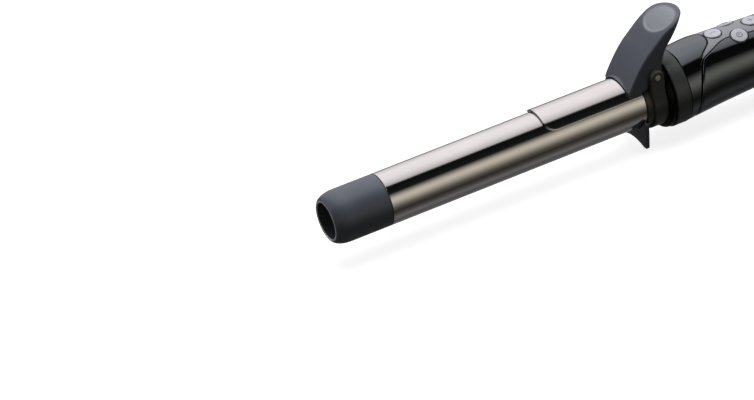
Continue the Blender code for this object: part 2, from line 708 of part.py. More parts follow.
def thumb_lever():
    """Moulded lever on the clamp: a curved top with side walls that reach down to the pin."""
    pivot = (PIN_X, 0, PIN_Z)
    half = LEVER_HALF_WIDTH
    end_x, end_z = PIN_X + LEVER_REACH, PIN_Z + LEVER_RISE
    tip = [(end_x + 0.5 * MM, end_z - 1.1 * MM), (end_x, end_z - 2.4 * MM)]
    boss = arc((PIN_X, PIN_Z), LEVER_BOSS_RADIUS, 0, -90, 6)
    foot = [(CLAMP_REAR_X - LEVER_OVERLAP + 0.4 * MM, CLAMP_OUTER / 2)]
    side = [*lever_top(0), *tip, *lever_back(), *boss, *foot]
    lever = piece("thumb_lever", prism(side, "Y", -half, half), satin_slate(), pivot)
    middle = end_x - half + 0.6 * MM
    past = end_x + 5 * MM
    beyond = [(middle, 2 * half), (past, 2 * half), (past, -2 * half), (middle, -2 * half)]
    round_end = prism([*beyond, *arc((middle, 0), half, -90, 90, 12)], "Z", 0, 4 * LEVER_RISE)
    inside = lever_top(LEVER_TOP_WALL)[6:-3]
    below = [(past, PIN_Z), (past, 0), (inside[0][0], 0)]
    hollow = prism([*inside, *below], "Y", LEVER_WALL - half, half - LEVER_WALL)
    saddle = rod(CLAMP_FRONT_X, CLAMP_REAR_X + GAP, CLAMP_OUTER + GAP, 2 * FINE)
    over_sleeve = rod(CLAMP_REAR_X + GAP - 0.1 * MM, 2 * PIN_X, SLEEVE_RADIUS + GAP, 2 * FINE)
    pin_hole = post(pivot, (0, 1, 0), -2 * half, 2 * half, PIN_RADIUS + PIN_PLAY, MEDIUM)
    for name, shape in (("lever_round_end", round_end), ("lever_hollow", hollow),
                        ("lever_saddle", saddle), ("lever_over_sleeve", over_sleeve),
                        ("lever_pin_hole", pin_hole)):
        combine(lever, "DIFFERENCE", cutter(name, shape))
    for side_name, y in (("left", -RIVET_SPACING), ("right", RIVET_SPACING)):
        low = sqrt(CLAMP_INNER**2 - y**2)
        top = low + CLAMP_THICKNESS + RIVET_BITE
        hole = post((RIVET_X, y, 0), (0, 0, 1), low - PAST, top + GAP, RIVET_RADIUS + GAP, COARSE)
        combine(lever, "DIFFERENCE", cutter(f"lever_rivet_hole_{side_name}", hole))
        rivet = post((RIVET_X, y, 0), (0, 0, 1), low, top, RIVET_RADIUS, COARSE)
        piece(f"lever_rivet_{side_name}", rivet, steel(), pivot)


def hinge_bracket():
    """Metal sleeve round the barrel's root with two ears that carry the clamp's pin."""
    sleeve = piece("hinge_bracket", tube(0, SLEEVE_REAR_X, AROUND_BARREL, SLEEVE_RADIUS, FINE),
                   satin_black())
    bore = cutter("bracket_bore", rod(-PAST, 2 * PIN_X, AROUND_BARREL, FINE))
    half = LEVER_HALF_WIDTH - LEVER_WALL - WINDOW_MARGIN
    window_low = (PIN_X - EAR_RADIUS - 1 * MM, -half, BARREL_RADIUS / 2)
    window_high = (PIN_X + EAR_RADIUS, half, 2 * PIN_Z)
    window = cutter("bracket_window", block(window_low, window_high))
    hole = cutter("bracket_pin_hole", post((PIN_X, 0, PIN_Z), (0, 1, 0), -2 * EAR_OUTER_Y,
                                           2 * EAR_OUTER_Y, PIN_RADIUS + PIN_PLAY, MEDIUM))
    crown = arc((PIN_X, PIN_Z), EAR_RADIUS, 0, 180, 10)
    ear = [*crown, (PIN_X - EAR_RADIUS, EAR_FOOT_Z), (PIN_X + EAR_RADIUS, EAR_FOOT_Z)]
    for side in (-1, 1):
        low, high = sorted((side * EAR_INNER_Y, side * EAR_OUTER_Y))
        combine(sleeve, "UNION", cutter(f"bracket_ear_{side + 1}", prism(ear, "Y", low, high)))
    combine(sleeve, "DIFFERENCE", bore, window, hole)


def hinge_pin():
    end = EAR_OUTER_Y + PIN_PROUD
    cut = PIN_CHAMFER
    profile = [(-end, 0), (-end, PIN_RADIUS - cut), (cut - end, PIN_RADIUS),
               (end - cut, PIN_RADIUS), (end, PIN_RADIUS - cut), (end, 0)]
    pin = turned(profile, MEDIUM, ring=False)
    turn = Matrix.Translation((PIN_X, 0, PIN_Z)) @ Matrix.Rotation(pi / 2, 4, "Z")
    piece("hinge_pin", moved(pin, turn), steel())


def torsion_spring():
    """Coil round the pin: one leg lies on the bracket's sleeve, the other under the lever."""
    coil = PIN_RADIUS + GAP + PIN_PLAY + SPRING_WIRE_RADIUS
    per_turn = 10
    route = [(PIN_X + 0.8 * MM, -SPRING_HALF_WIDTH, PIN_Z + SPRING_LEG)]
    for step in range(SPRING_TURNS * per_turn + per_turn // 2 + 1):
        angle = 2 * pi * step / per_turn
        y = -SPRING_HALF_WIDTH + 2 * SPRING_HALF_WIDTH * step / ((SPRING_TURNS + 0.5) * per_turn)
        route.append((PIN_X + coil * cos(angle), y, PIN_Z + coil * sin(angle)))
    rest_z = SLEEVE_RADIUS + GAP - SPRING_WIRE_RADIUS
    route.append((PIN_X - coil - 0.6 * MM, SPRING_HALF_WIDTH, PIN_Z - 0.6 * MM))
    route.append((CLAMP_REAR_X + 2.6 * MM, SPRING_HALF_WIDTH, rest_z))
    wire("torsion_spring", route, SPRING_WIRE_RADIUS, steel(), (PIN_X, 0, PIN_Z))


def rest_foot():
    """Plate across the front of the bracket whose two feet hold the hot barrel off the table."""
    outer_foot = (FOOT_SPREAD + FOOT_LAND, -FOOT_DROP)
    flank = [(SLEEVE_RADIUS * cos(radians(a)), SLEEVE_RADIUS * sin(radians(a))) for a in (-4, -16)]
    right = smooth([*flank, (FOOT_SPREAD + FOOT_FLARE, 0.6 * -FOOT_DROP), outer_foot], 4)
    half_span = FOOT_SPREAD - FOOT_LAND
    arch_radius = (half_span**2 + FOOT_ARCH**2) / (2 * FOOT_ARCH)
    lean = asin(half_span / arch_radius) * 180 / pi
    arch = arc((0, -FOOT_DROP + FOOT_ARCH - arch_radius), arch_radius, 90 - lean, 90 + lean, 8)
    left = [(-y, z) for y, z in reversed(right)]
    bore = arc((0, 0), AROUND_BARREL, 184, 356, 20)
    outline = [*right, *arch, *left, *bore]
    rear = -GAP
    piece("rest_foot", prism(outline, "X", rear - FOOT_THICKNESS, rear), satin_slate())


def root_rings():
    """A bulging gloss ring, then a flat-sided satin collar, threaded over the sleeve."""
    half = FLANGE_WIDTH / 2
    bulge = [(FLANGE_FRONT_X + half - half * cos(radians(a)),
              FLANGE_RADIUS - FLANGE_BULGE + FLANGE_BULGE * sin(radians(a))) for a in range(0, 181, 30)]
    profile = [*bulge, (FLANGE_REAR_X, AROUND_SLEEVE), (FLANGE_FRONT_X, AROUND_SLEEVE)]
    piece("flange_ring", turned(profile, FINE), gloss_black())
    edge = COLLAR_EDGE
    profile = [
        (COLLAR_FRONT_X, COLLAR_RADIUS - edge),
        (COLLAR_FRONT_X + edge, COLLAR_RADIUS),
        (COLLAR_REAR_X - edge, COLLAR_RADIUS),
        (COLLAR_REAR_X, COLLAR_RADIUS - edge),
        (COLLAR_REAR_X, AROUND_SLEEVE),
        (COLLAR_FRONT_X, AROUND_SLEEVE),
    ]
    piece("collar_ring", turned(profile, FINE), satin_black())


def side_cut(name, shift, forward):
    """Everything in front of the slanting seam, or behind it."""
    line = seam_line(shift)
    far = NOSE_FRONT_X - 20 * MM if forward else HANDLE_REAR_X + 20 * MM
    outline = [*line, (far, line[-1][1]), (far, line[0][1])]
    return cutter(name, prism(outline, "Y", -2 * NOSE_RADIUS, 2 * NOSE_RADIUS))


def nose_cuff():
    cuff = piece("nose_cuff", handle_shell(NOSE_FRONT_X, SEAM_TOP_X + PAST, 0, HANDLE_WALL, 8),
                 gloss_black())
    combine(cuff, "DIFFERENCE", side_cut("behind_seam", -SEAM_WIDTH / 2, forward=False))


def panel_outline(grow):
    """(x, y) of the control panel from above, or of its pocket this much larger."""
    tail_x = NOSE_FRONT_X + SEAM_HIGH_UP
    edge = smooth(
        [
            (tail_x - grow, PANEL_TAIL_WIDTH + grow),
            (tail_x + 6.5 * MM, 0.8 * PANEL_TAIL_WIDTH + grow),
            (SEAM_TOP_X + 5 * MM, PANEL_NECK_WIDTH + 0.7 * MM + grow),
            (SEAM_TOP_X + 11 * MM, PANEL_NECK_WIDTH + grow),
            (SEAM_TOP_X + 21 * MM, PANEL_HALF_WIDTH - 0.4 * MM + grow),
            (SEAM_TOP_X + 34 * MM, PANEL_HALF_WIDTH + grow),
            (PANEL_REAR_X - PANEL_HALF_WIDTH, PANEL_HALF_WIDTH + grow),
        ],
        4,
    )
    centre = (PANEL_REAR_X - PANEL_HALF_WIDTH, 0)
    back = arc(centre, PANEL_HALF_WIDTH + grow, 90, 0, 6)
    right = [*edge, *back[1:]]
    left = [(x, -y) for x, y in reversed(right[:-1])]
    return [*right, *left]


def button_places():
    """(name, x, angle about the handle) of the four buttons."""
    return (
        ("front", DIAMOND_X - DIAMOND_REACH, 0),
        ("left", DIAMOND_X, DIAMOND_ANGLE),
        ("right", DIAMOND_X, -DIAMOND_ANGLE),
        ("rear", DIAMOND_X + DIAMOND_REACH, 0),
    )


def control_panel():
    """Grey plate let into the top of the handle: its two tails follow the seam down the sides."""
    front = NOSE_FRONT_X + SEAM_BESIDE
    panel = piece("control_panel",
                  handle_shell(front, PANEL_REAR_X + 2 * PAST, 0, PANEL_THICKNESS, 10), panel_grey())
    combine(panel, "INTERSECT", cutter("panel_edge", prism(panel_outline(0), "Z", 0, 2 * NOSE_RADIUS)))
    combine(panel, "DIFFERENCE", side_cut("front_of_panel", SEAM_WIDTH / 2, forward=True))
    for name, x, angle in button_places():
        radius, height = handle_at(x)
        out = (0, -sin(angle), cos(angle))
        hole = post((x, 0, height), out, radius - 2 * PANEL_THICKNESS, radius + 3 * PAST,
                    BUTTON_RADIUS + GAP, MEDIUM)
        combine(panel, "DIFFERENCE", cutter(f"button_hole_{name}", hole))
    window_low = (DISPLAY_X - DISPLAY_LENGTH / 2 - GAP, -DISPLAY_WIDTH / 2 - GAP, 0)
    window_high = (DISPLAY_X + DISPLAY_LENGTH / 2 + GAP, DISPLAY_WIDTH / 2 + GAP, 2 * NOSE_RADIUS)
    combine(panel, "DIFFERENCE", cutter("display_window", block(window_low, window_high)))


def display():
    """Tinted window flush with the panel, and the display module below it."""
    lens = piece("display_lens",
                 handle_shell(DISPLAY_X - DISPLAY_LENGTH, DISPLAY_X + DISPLAY_LENGTH, 0,
                              PANEL_THICKNESS, 8), tinted_lens())
    low = (DISPLAY_X - DISPLAY_LENGTH / 2, -DISPLAY_WIDTH / 2, 0)
    high = (DISPLAY_X + DISPLAY_LENGTH / 2, DISPLAY_WIDTH / 2, 2 * NOSE_RADIUS)
    combine(lens, "INTERSECT", cutter("display_edge", block(low, high)))
    radius, height = handle_at(DISPLAY_X)
    inner = radius - PANEL_THICKNESS - GAP - HANDLE_WALL
    half = DISPLAY_WIDTH / 2 - MODULE_SIDE_INSET
    half_length = DISPLAY_LENGTH / 2 - MODULE_INSET
    top = height + sqrt(inner**2 - half**2) - MODULE_DROP
    low = (DISPLAY_X - half_length, -half, BOARD_TOP + GAP)
    high = (DISPLAY_X + half_length, half, top)
    piece("display_module", block(low, high), board_green())


def handle_body():
    """One-piece moulded tube with a pocket in its top for the control panel."""
    front = NOSE_FRONT_X + PAST
    body = piece("handle_body", handle_shell(front, HANDLE_REAR_X, 0, HANDLE_WALL, 13), gloss_black())
    combine(body, "DIFFERENCE", side_cut("front_of_body", SEAM_WIDTH / 2, forward=True))
    ring = handle_shell(front, PANEL_REAR_X + 4 * PAST, -5 * PAST, PANEL_THICKNESS + GAP, 10)
    pocket = cutter("panel_pocket", ring)
    combine(pocket, "INTERSECT",
            cutter("pocket_edge", prism(panel_outline(GAP), "Z", 0, 2 * NOSE_RADIUS)))
    half = BUTTON_RADIUS + 1.5 * GAP
    opening_low = (BOARD_FRONT_X - 1.5 * MM, -half, 0)
    opening_high = (DISPLAY_X + DISPLAY_LENGTH / 2, half, 2 * NOSE_RADIUS)
    opening = cutter("wiring_opening", block(opening_low, opening_high))
    combine(body, "DIFFERENCE", pocket, opening)
    for name, x, angle in button_places():
        if angle:
            radius, height = handle_at(x)
            hole = post((x, 0, height), (0, -sin(angle), cos(angle)), radius - 3 * HANDLE_WALL,
                        radius + 3 * PAST, BUTTON_RADIUS + GAP, MEDIUM)
            combine(body, "DIFFERENCE", cutter(f"body_hole_{name}", hole))


def button(name, x, angle):
    """Domed cap on a stem. Its origin is on its line of travel, at the handle's surface."""
    radius, height = handle_at(x)
    out = Vector((0, -sin(angle), cos(angle)))
    place = Vector((x, 0, height)) + radius * out
    switch_top = BOARD_TOP + SWITCH_HEIGHT
    stem_end = BUTTON_TRAVEL + GAP + (switch_top - place.z) / out.z
    stem_end += BUTTON_STEM_RADIUS * abs(tan(angle))
    cap_low = -PANEL_THICKNESS - BUTTON_SKIRT
    edge = BUTTON_EDGE
    profile = [
        (BUTTON_PROUD, 0),
        (BUTTON_PROUD - 0.08 * MM, 0.6 * BUTTON_RADIUS),
        (BUTTON_PROUD - edge, BUTTON_RADIUS - edge / 2),
        (BUTTON_PROUD - 2 * edge, BUTTON_RADIUS),
        (cap_low, BUTTON_RADIUS),
        (cap_low, BUTTON_STEM_RADIUS),
        (stem_end, BUTTON_STEM_RADIUS),
        (stem_end, 0),
    ]
    turn = Vector((1, 0, 0)).rotation_difference(out).to_matrix().to_4x4()
    cap = moved(turned(profile, MEDIUM, ring=False), Matrix.Translation(place) @ turn)
    piece(f"button_{name}", cap, button_silver(), place)


def board_and_switches():
    """Circuit board on the chassis tray with a switch under each button."""
    low = (BOARD_FRONT_X, -BOARD_HALF_WIDTH, BOARD_Z)
    high = (BOARD_REAR_X, BOARD_HALF_WIDTH, BOARD_TOP)
    board = piece("control_board", block(low, high), board_green())
    for name, x, angle in button_places():
        radius, height = handle_at(x)
        along = (radius * cos(angle) + height - BOARD_TOP - SWITCH_HEIGHT) / cos(angle)
        y = -(radius - along) * sin(angle)
        half = SWITCH_SIDE / 2
        low = (x - half, y - half, BOARD_TOP + GAP)
        high = (x + half, y + half, BOARD_TOP + SWITCH_HEIGHT)
        piece(f"tact_switch_{name}", block(low, high), satin_black())
    for name, x in BOARD_SCREWS:
        hole = post((x, BOARD_SCREW_Y, 0), (0, 0, 1), BOARD_Z - PAST, BOARD_TOP + PAST,
                    SCREW_RADIUS + GAP, COARSE)
        combine(board, "DIFFERENCE", cutter(f"board_hole_{name}", hole))
        tip_z = BOARD_Z - POST_DEPTH + 1 * MM
        profile = [
            (BOARD_TOP + GAP + SCREW_HEAD_HEIGHT, 0),
            (BOARD_TOP + GAP + SCREW_HEAD_HEIGHT, 0.7 * SCREW_HEAD_RADIUS),
            (BOARD_TOP + GAP, 0.9 * SCREW_HEAD_RADIUS),
            (BOARD_TOP + GAP, SCREW_RADIUS),
            (tip_z, SCREW_RADIUS),
            (tip_z, 0),
        ]
        upright = Matrix.Translation((x, BOARD_SCREW_Y, 0)) @ Matrix.Rotation(-pi / 2, 4, "Y")
        screw = moved(turned(profile, COARSE, ring=False), upright)
        piece(f"board_screw_{name}", screw, steel())


def power_parts():
    """The triac and the smoothing capacitor that hang below the board."""
    x = BOARD_FRONT_X + TRIAC_FROM_FRONT
    low = (x, 0, BOARD_Z - GAP - TRIAC_HEIGHT)
    high = (x + TRIAC_LENGTH, TRIAC_WIDTH, BOARD_Z - GAP)
    piece("triac", block(low, high), satin_black())
    x = BOARD_FRONT_X + CAPACITOR_FROM_FRONT
    can = rod(x, x + CAPACITOR_LENGTH, CAPACITOR_RADIUS, MEDIUM, BOARD_Z - GAP - CAPACITOR_RADIUS)
    piece("capacitor", can, bare_aluminium())


def chassis_tray():
    """Half tube inside the handle, with two bridges that the board is screwed to."""
    height = HANDLE_RISE
    outer = arc((0, height), TRAY_RADIUS, 180, 360, 20)
    inner = arc((0, height), TRAY_RADIUS - TRAY_WALL, 360, 180, 18)
    tray = piece("chassis_tray", prism(outer + inner, "X", TRAY_FRONT_X, TRAY_REAR_X), heat_resin())
    for name, x in BOARD_SCREWS:
        low = (x - POST_HALF_WIDTH, BOARD_SCREW_Y - POST_HALF_WIDTH, -0.55 * TRAY_RADIUS)
        high = (x + POST_HALF_WIDTH, BOARD_SCREW_Y + POST_HALF_WIDTH, BOARD_Z - GAP)
        combine(tray, "UNION", cutter(f"tray_post_{name}", block(low, high)))
        hole = post((x, BOARD_SCREW_Y, 0), (0, 0, 1), BOARD_Z - POST_DEPTH, BOARD_Z + PAST,
                    SCREW_RADIUS + GAP, COARSE)
        combine(tray, "DIFFERENCE", cutter(f"post_hole_{name}", hole))


def end_cap():
    """Plug that closes the handle and bears the swivelling cord inlet."""
    corner = (CAP_REAR_X - CAP_ROUNDING, END_RADIUS - CAP_ROUNDING)
    hole = GLAND_NECK_RADIUS + SWIVEL_PLAY
    profile = [
        (CAP_FRONT_X - CAP_LIP_LENGTH, CAP_LIP_RADIUS),
        (CAP_FRONT_X, CAP_LIP_RADIUS),
        (CAP_FRONT_X, END_RADIUS),
        *arc(corner, CAP_ROUNDING, 90, 0, 5),
        (CAP_REAR_X, hole),
        (CAP_REAR_X - CAP_WALL, hole),
        (CAP_REAR_X - CAP_WALL, CAP_LIP_RADIUS - CAP_LIP_WALL),
        (CAP_FRONT_X - CAP_LIP_LENGTH, CAP_LIP_RADIUS - CAP_LIP_WALL),
    ]
    piece("end_cap", turned(profile, FINE, height=HANDLE_RISE), gloss_black())


def swivel():
    """Cord inlet that turns in the end cap, with slip rings on its hub and a brush on each."""
    height = HANDLE_RISE
    flange_rear = CAP_REAR_X - CAP_WALL - SWIVEL_PLAY
    flange_front = flange_rear - GLAND_FLANGE_WIDTH
    hub_front = flange_front - HUB_LENGTH
    rear = CAP_REAR_X + GLAND_LENGTH
    neck_rear = CAP_REAR_X + 1 * MM
    collar_radius = GLAND_NECK_RADIUS + GLAND_COLLAR_STEP
    profile = [
        (hub_front, HUB_RADIUS),
        (flange_front, HUB_RADIUS),
        (flange_front, GLAND_FLANGE_RADIUS),
        (flange_rear, GLAND_FLANGE_RADIUS),
        (flange_rear, GLAND_NECK_RADIUS),
        (neck_rear, GLAND_NECK_RADIUS),
        (neck_rear, collar_radius),
        (neck_rear + GLAND_COLLAR_WIDTH, collar_radius),
        (neck_rear + GLAND_COLLAR_WIDTH + 2 * MM, GLAND_NECK_RADIUS),
        (rear, GLAND_END_RADIUS),
        (rear, CORD_HOLE_RADIUS),
        (hub_front, CORD_HOLE_RADIUS),
    ]
    piece("swivel_gland", turned(profile, MEDIUM, height=height), satin_black(), (rear, 0, height))
    inner = HUB_RADIUS + GAP
    retainer_rear = flange_front - SWIVEL_PLAY
    outer = CAP_LIP_RADIUS - CAP_LIP_WALL - GAP
    retainer = tube(retainer_rear - RETAINER_WIDTH, retainer_rear, inner, outer, MEDIUM, height)
    piece("swivel_retainer", retainer, heat_resin())
    for index, name in enumerate(("live", "neutral")):
        front = hub_front + SLIP_RING_INSET + index * (SLIP_RING_WIDTH + SLIP_RING_SPACE)
        ring = tube(front, front + SLIP_RING_WIDTH, HUB_RADIUS + RING_FIT,
                    HUB_RADIUS + SLIP_RING_WALL, MEDIUM, height)
        piece(f"slip_ring_{name}", ring, brass(), (front, 0, height))
        top = height + HUB_RADIUS + SLIP_RING_WALL + BRUSH_LIFT
        middle = front + SLIP_RING_WIDTH / 2
        under = [(-3 * MM, top + 0.9 * MM), (0, top), (3 * MM, top + 0.3 * MM), (5 * MM, top + 2 * MM)]
        leaf = [*under, *[(y, z + BRUSH_THICKNESS) for y, z in reversed(under)]]
        brush = prism(leaf, "X", middle - BRUSH_WIDTH / 2, middle + BRUSH_WIDTH / 2)
        piece(f"brush_{name}", brush, brass())


def stand_on_foot():
    """Carries the iron up so that its feet are at Z = 0, its middle at X = 0."""
    front = TIP_FRONT_X
    rear = CAP_REAR_X + GLAND_LENGTH
    IRON.location = (-(front + rear) / 2, 0, FOOT_DROP)


clear_scene()
IRON = bpy.data.objects.new("iron", None)
bpy.context.scene.collection.objects.link(IRON)
cool_tip()
tip_fixing()
barrel_tube()
heater()
leads()
barrel_bushing()
clamp_plate()
thumb_lever()
hinge_bracket()
hinge_pin()
torsion_spring()
rest_foot()
root_rings()
nose_cuff()
control_panel()
display()
handle_body()
for button_place in button_places():
    button(*button_place)
board_and_switches()
power_parts()
chassis_tray()
end_cap()
swivel()
stand_on_foot()
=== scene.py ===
"""The finished look of a clamp curling iron, built in Blender 4.5 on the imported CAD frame.

Every piece is shaped about the barrel's own axis, with lengths along X from the front of the
hinge bracket, and is then set down on the frame. -Y is the iron's left side.
"""

from math import asin, cos, hypot, pi, radians, sin, sqrt, tan

import bmesh
import bpy
from mathutils import Matrix, Vector


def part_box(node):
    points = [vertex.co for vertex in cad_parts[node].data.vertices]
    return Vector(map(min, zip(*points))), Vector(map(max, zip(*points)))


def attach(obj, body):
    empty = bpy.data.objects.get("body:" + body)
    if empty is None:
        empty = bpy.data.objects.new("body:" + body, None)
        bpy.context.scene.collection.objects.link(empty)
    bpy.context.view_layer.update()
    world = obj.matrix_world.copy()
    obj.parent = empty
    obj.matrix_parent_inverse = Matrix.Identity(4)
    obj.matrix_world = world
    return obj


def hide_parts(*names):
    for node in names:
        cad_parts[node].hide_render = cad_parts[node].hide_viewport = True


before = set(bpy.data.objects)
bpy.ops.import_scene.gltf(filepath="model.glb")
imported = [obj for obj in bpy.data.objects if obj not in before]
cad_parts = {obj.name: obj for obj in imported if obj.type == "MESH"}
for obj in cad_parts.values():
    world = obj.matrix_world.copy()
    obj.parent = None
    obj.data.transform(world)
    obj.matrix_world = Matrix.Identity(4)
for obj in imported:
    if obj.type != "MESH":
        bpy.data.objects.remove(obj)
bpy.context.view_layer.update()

MM = 0.001

# ---------------------------------------------------------------------------------------------
# Barrel: a thin tube of polished, nickel-plated aluminium that the heater warms from inside.
# It is drawn and cut to length, its lips are broken by hand and it is buffed while it turns,
# so very fine marks run round it.

BARREL_RADIUS = 12.5 * MM
BARREL_WALL = 1.0 * MM
BARREL_FRONT_X = -132.7 * MM
BARREL_REAR_X = 24 * MM
BARREL_LIP = 0.25 * MM

tube_low, tube_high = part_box("barrel_tube")
HOME = Vector((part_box("hinge_bracket")[0].x, 0, (tube_low.z + tube_high.z) / 2))


def object_of(name, mesh):
    made = bpy.data.objects.new(name, mesh)
    bpy.context.scene.collection.objects.link(made)
    return made


def object_from(name, bm):
    """The shape in bm as an object, with its faces turned outwards."""
    bmesh.ops.remove_doubles(bm, verts=bm.verts, dist=0.001 * MM)
    bmesh.ops.dissolve_degenerate(bm, edges=bm.edges, dist=0.0005 * MM)
    bmesh.ops.recalc_face_normals(bm, faces=bm.faces)
    if bm.calc_volume(signed=True) < 0:
        bmesh.ops.reverse_faces(bm, faces=bm.faces)
    mesh = bpy.data.meshes.new(name)
    bm.to_mesh(mesh)
    bm.free()
    return object_of(name, mesh)


def settle(made):
    """Turns an object's modifiers into plain mesh."""
    graph = bpy.context.evaluated_depsgraph_get()
    mesh = bpy.data.meshes.new_from_object(made.evaluated_get(graph))
    made.modifiers.clear()
    made.data = mesh
    return made


def fit(made, material, slot, body, *nodes, sharp=32):
    """Sets a finished piece down on the frame in place of its CAD nodes."""
    settle(made)
    mesh = made.data
    mesh.transform(Matrix.Translation(HOME))
    mesh.shade_smooth()
    mesh.set_sharp_from_angle(angle=radians(sharp))
    mesh.materials.clear()
    mesh.materials.append(material)
    if nodes:
        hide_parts(*nodes)
    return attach(made, body)


def sockets(tree, inputs, outputs):
    for name, kind, value in inputs:
        made = tree.interface.new_socket(name, in_out="INPUT", socket_type=f"NodeSocket{kind}")
        if value is not None:
            made.default_value = value
    for name, kind in outputs:
        tree.interface.new_socket(name, in_out="OUTPUT", socket_type=f"NodeSocket{kind}")
    return tree.nodes.new("NodeGroupInput").outputs, tree.nodes.new("NodeGroupOutput").inputs


def round_sweep_tree():
    """A round section swept along a line of edges: tubes, wires and raised symbols."""
    tree = bpy.data.node_groups.new("round_sweep", "GeometryNodeTree")
    given, result = sockets(
        tree,
        [("Route", "Geometry", None), ("Radius", "Float", 1 * MM), ("Sides", "Int", 12),
         ("Closed Ends", "Bool", True), ("Finish", "Material", None)],
        [("Swept", "Geometry")],
    )
    route = tree.nodes.new("GeometryNodeMeshToCurve")
    section = tree.nodes.new("GeometryNodeCurvePrimitiveCircle")
    sweep = tree.nodes.new("GeometryNodeCurveToMesh")
    real = tree.nodes.new("GeometryNodeRealizeInstances")
    coat = tree.nodes.new("GeometryNodeSetMaterial")
    join = tree.links.new
    join(given["Route"], route.inputs["Mesh"])
    join(given["Sides"], section.inputs["Resolution"])
    join(given["Radius"], section.inputs["Radius"])
    join(route.outputs["Curve"], sweep.inputs["Curve"])
    join(section.outputs["Curve"], sweep.inputs["Profile Curve"])
    join(given["Closed Ends"], sweep.inputs["Fill Caps"])
    join(sweep.outputs["Mesh"], real.inputs["Geometry"])
    join(real.outputs["Geometry"], coat.inputs["Geometry"])
    join(given["Finish"], coat.inputs["Material"])
    join(coat.outputs["Geometry"], result["Swept"])
    return tree


ROUND_SWEEP = round_sweep_tree()


def grown(made, tree, **sizes):
    """Runs a Geometry Nodes tree on an object and keeps the result as plain mesh."""
    step = made.modifiers.new(tree.name, "NODES")
    step.node_group = tree
    for name, value in sizes.items():
        step[tree.interface.items_tree[name.replace("_", " ")].identifier] = value
    return settle(made)


def swept(name, routes, radius, sides, closed_ends, material):
    """Sweeps a round section along one or more lists of points."""
    mesh = bpy.data.meshes.new(name)
    points = [point for route in routes for point in route]
    edges = []
    start = 0
    for route in routes:
        edges += [(start + index, start + index + 1) for index in range(len(route) - 1)]
        start += len(route)
    mesh.from_pydata(points, edges, [])
    return grown(object_of(name, mesh), ROUND_SWEEP, Radius=radius, Sides=sides,
                 Closed_Ends=closed_ends, Finish=material)


def polish_lines_group():
    """Fine marks left by buffing a turning tube, with a few faint smears of handling."""
    tree = bpy.data.node_groups.new("polish_lines", "ShaderNodeTree")
    given, result = sockets(
        tree,
        [("Lines", "Float", 900.0), ("Roughness", "Float", 0.1), ("Spread", "Float", 0.03)],
        [("Roughness", "Float"), ("Height", "Float"), ("Smear", "Float")],
    )
    place = tree.nodes.new("ShaderNodeTexCoord")
    stretch = tree.nodes.new("ShaderNodeVectorMath")
    stretch.operation = "MULTIPLY"
    stretch.inputs[1].default_value = (1.0, 0.012, 0.012)
    lines = tree.nodes.new("ShaderNodeTexNoise")
    lines.inputs["Detail"].default_value = 3.0
    smear = tree.nodes.new("ShaderNodeTexNoise")
    smear.inputs["Scale"].default_value = 55.0
    smear.inputs["Detail"].default_value = 2.0
    both = tree.nodes.new("ShaderNodeMath")
    both.operation = "ADD"
    level = tree.nodes.new("ShaderNodeMath")
    level.operation = "MULTIPLY_ADD"
    join = tree.links.new
    join(place.outputs["Object"], stretch.inputs[0])
    join(stretch.outputs["Vector"], lines.inputs["Vector"])
    join(given["Lines"], lines.inputs["Scale"])
    join(place.outputs["Object"], smear.inputs["Vector"])
    join(lines.outputs["Fac"], both.inputs[0])
    join(smear.outputs["Fac"], both.inputs[1])
    centre = tree.nodes.new("ShaderNodeMath")
    centre.operation = "SUBTRACT"
    centre.inputs[1].default_value = 1.0
    join(both.outputs["Value"], centre.inputs[0])
    join(centre.outputs["Value"], level.inputs[0])
    join(given["Spread"], level.inputs[1])
    join(given["Roughness"], level.inputs[2])
    join(level.outputs["Value"], result["Roughness"])
    join(lines.outputs["Fac"], result["Height"])
    join(smear.outputs["Fac"], result["Smear"])
    return tree


POLISH_LINES = polish_lines_group()


def shader_of(name):
    """A new material with its Principled shader and its node tree."""
    material = bpy.data.materials.new(name)
    material.use_nodes = True
    return material, material.node_tree.nodes["Principled BSDF"], material.node_tree


def bumped(tree, shader, height, depth):
    """Feeds a height to the shader's normal, so high and low differ by this depth."""
    bump = tree.nodes.new("ShaderNodeBump")
    bump.inputs["Distance"].default_value = depth
    bump.inputs["Strength"].default_value = 1.0
    tree.links.new(height, bump.inputs["Height"])
    tree.links.new(bump.outputs["Normal"], shader.inputs["Normal"])


def tinted(tree, shader, mask, low, high):
    """Colours the shader between two colours by a mask."""
    ramp = tree.nodes.new("ShaderNodeValToRGB")
    ramp.color_ramp.elements[0].position = 0.3
    ramp.color_ramp.elements[0].color = (*low, 1)
    ramp.color_ramp.elements[1].position = 0.7
    ramp.color_ramp.elements[1].color = (*high, 1)
    tree.links.new(mask, ramp.inputs["Fac"])
    tree.links.new(ramp.outputs["Color"], shader.inputs["Base Color"])


def polished_metal(name, low, high, roughness, spread, depth):
    material, shader, tree = shader_of(name)
    shader.inputs["Metallic"].default_value = 1.0
    polish = tree.nodes.new("ShaderNodeGroup")
    polish.node_tree = POLISH_LINES
    polish.inputs["Roughness"].default_value = roughness
    polish.inputs["Spread"].default_value = spread
    tree.links.new(polish.outputs["Roughness"], shader.inputs["Roughness"])
    tinted(tree, shader, polish.outputs["Smear"], low, high)
    bumped(tree, shader, polish.outputs["Height"], depth)
    return material


PLATED = polished_metal("polished_nickel", (0.77, 0.745, 0.735), (0.81, 0.785, 0.775),
                        0.075, 0.02, 0.0002 * MM)

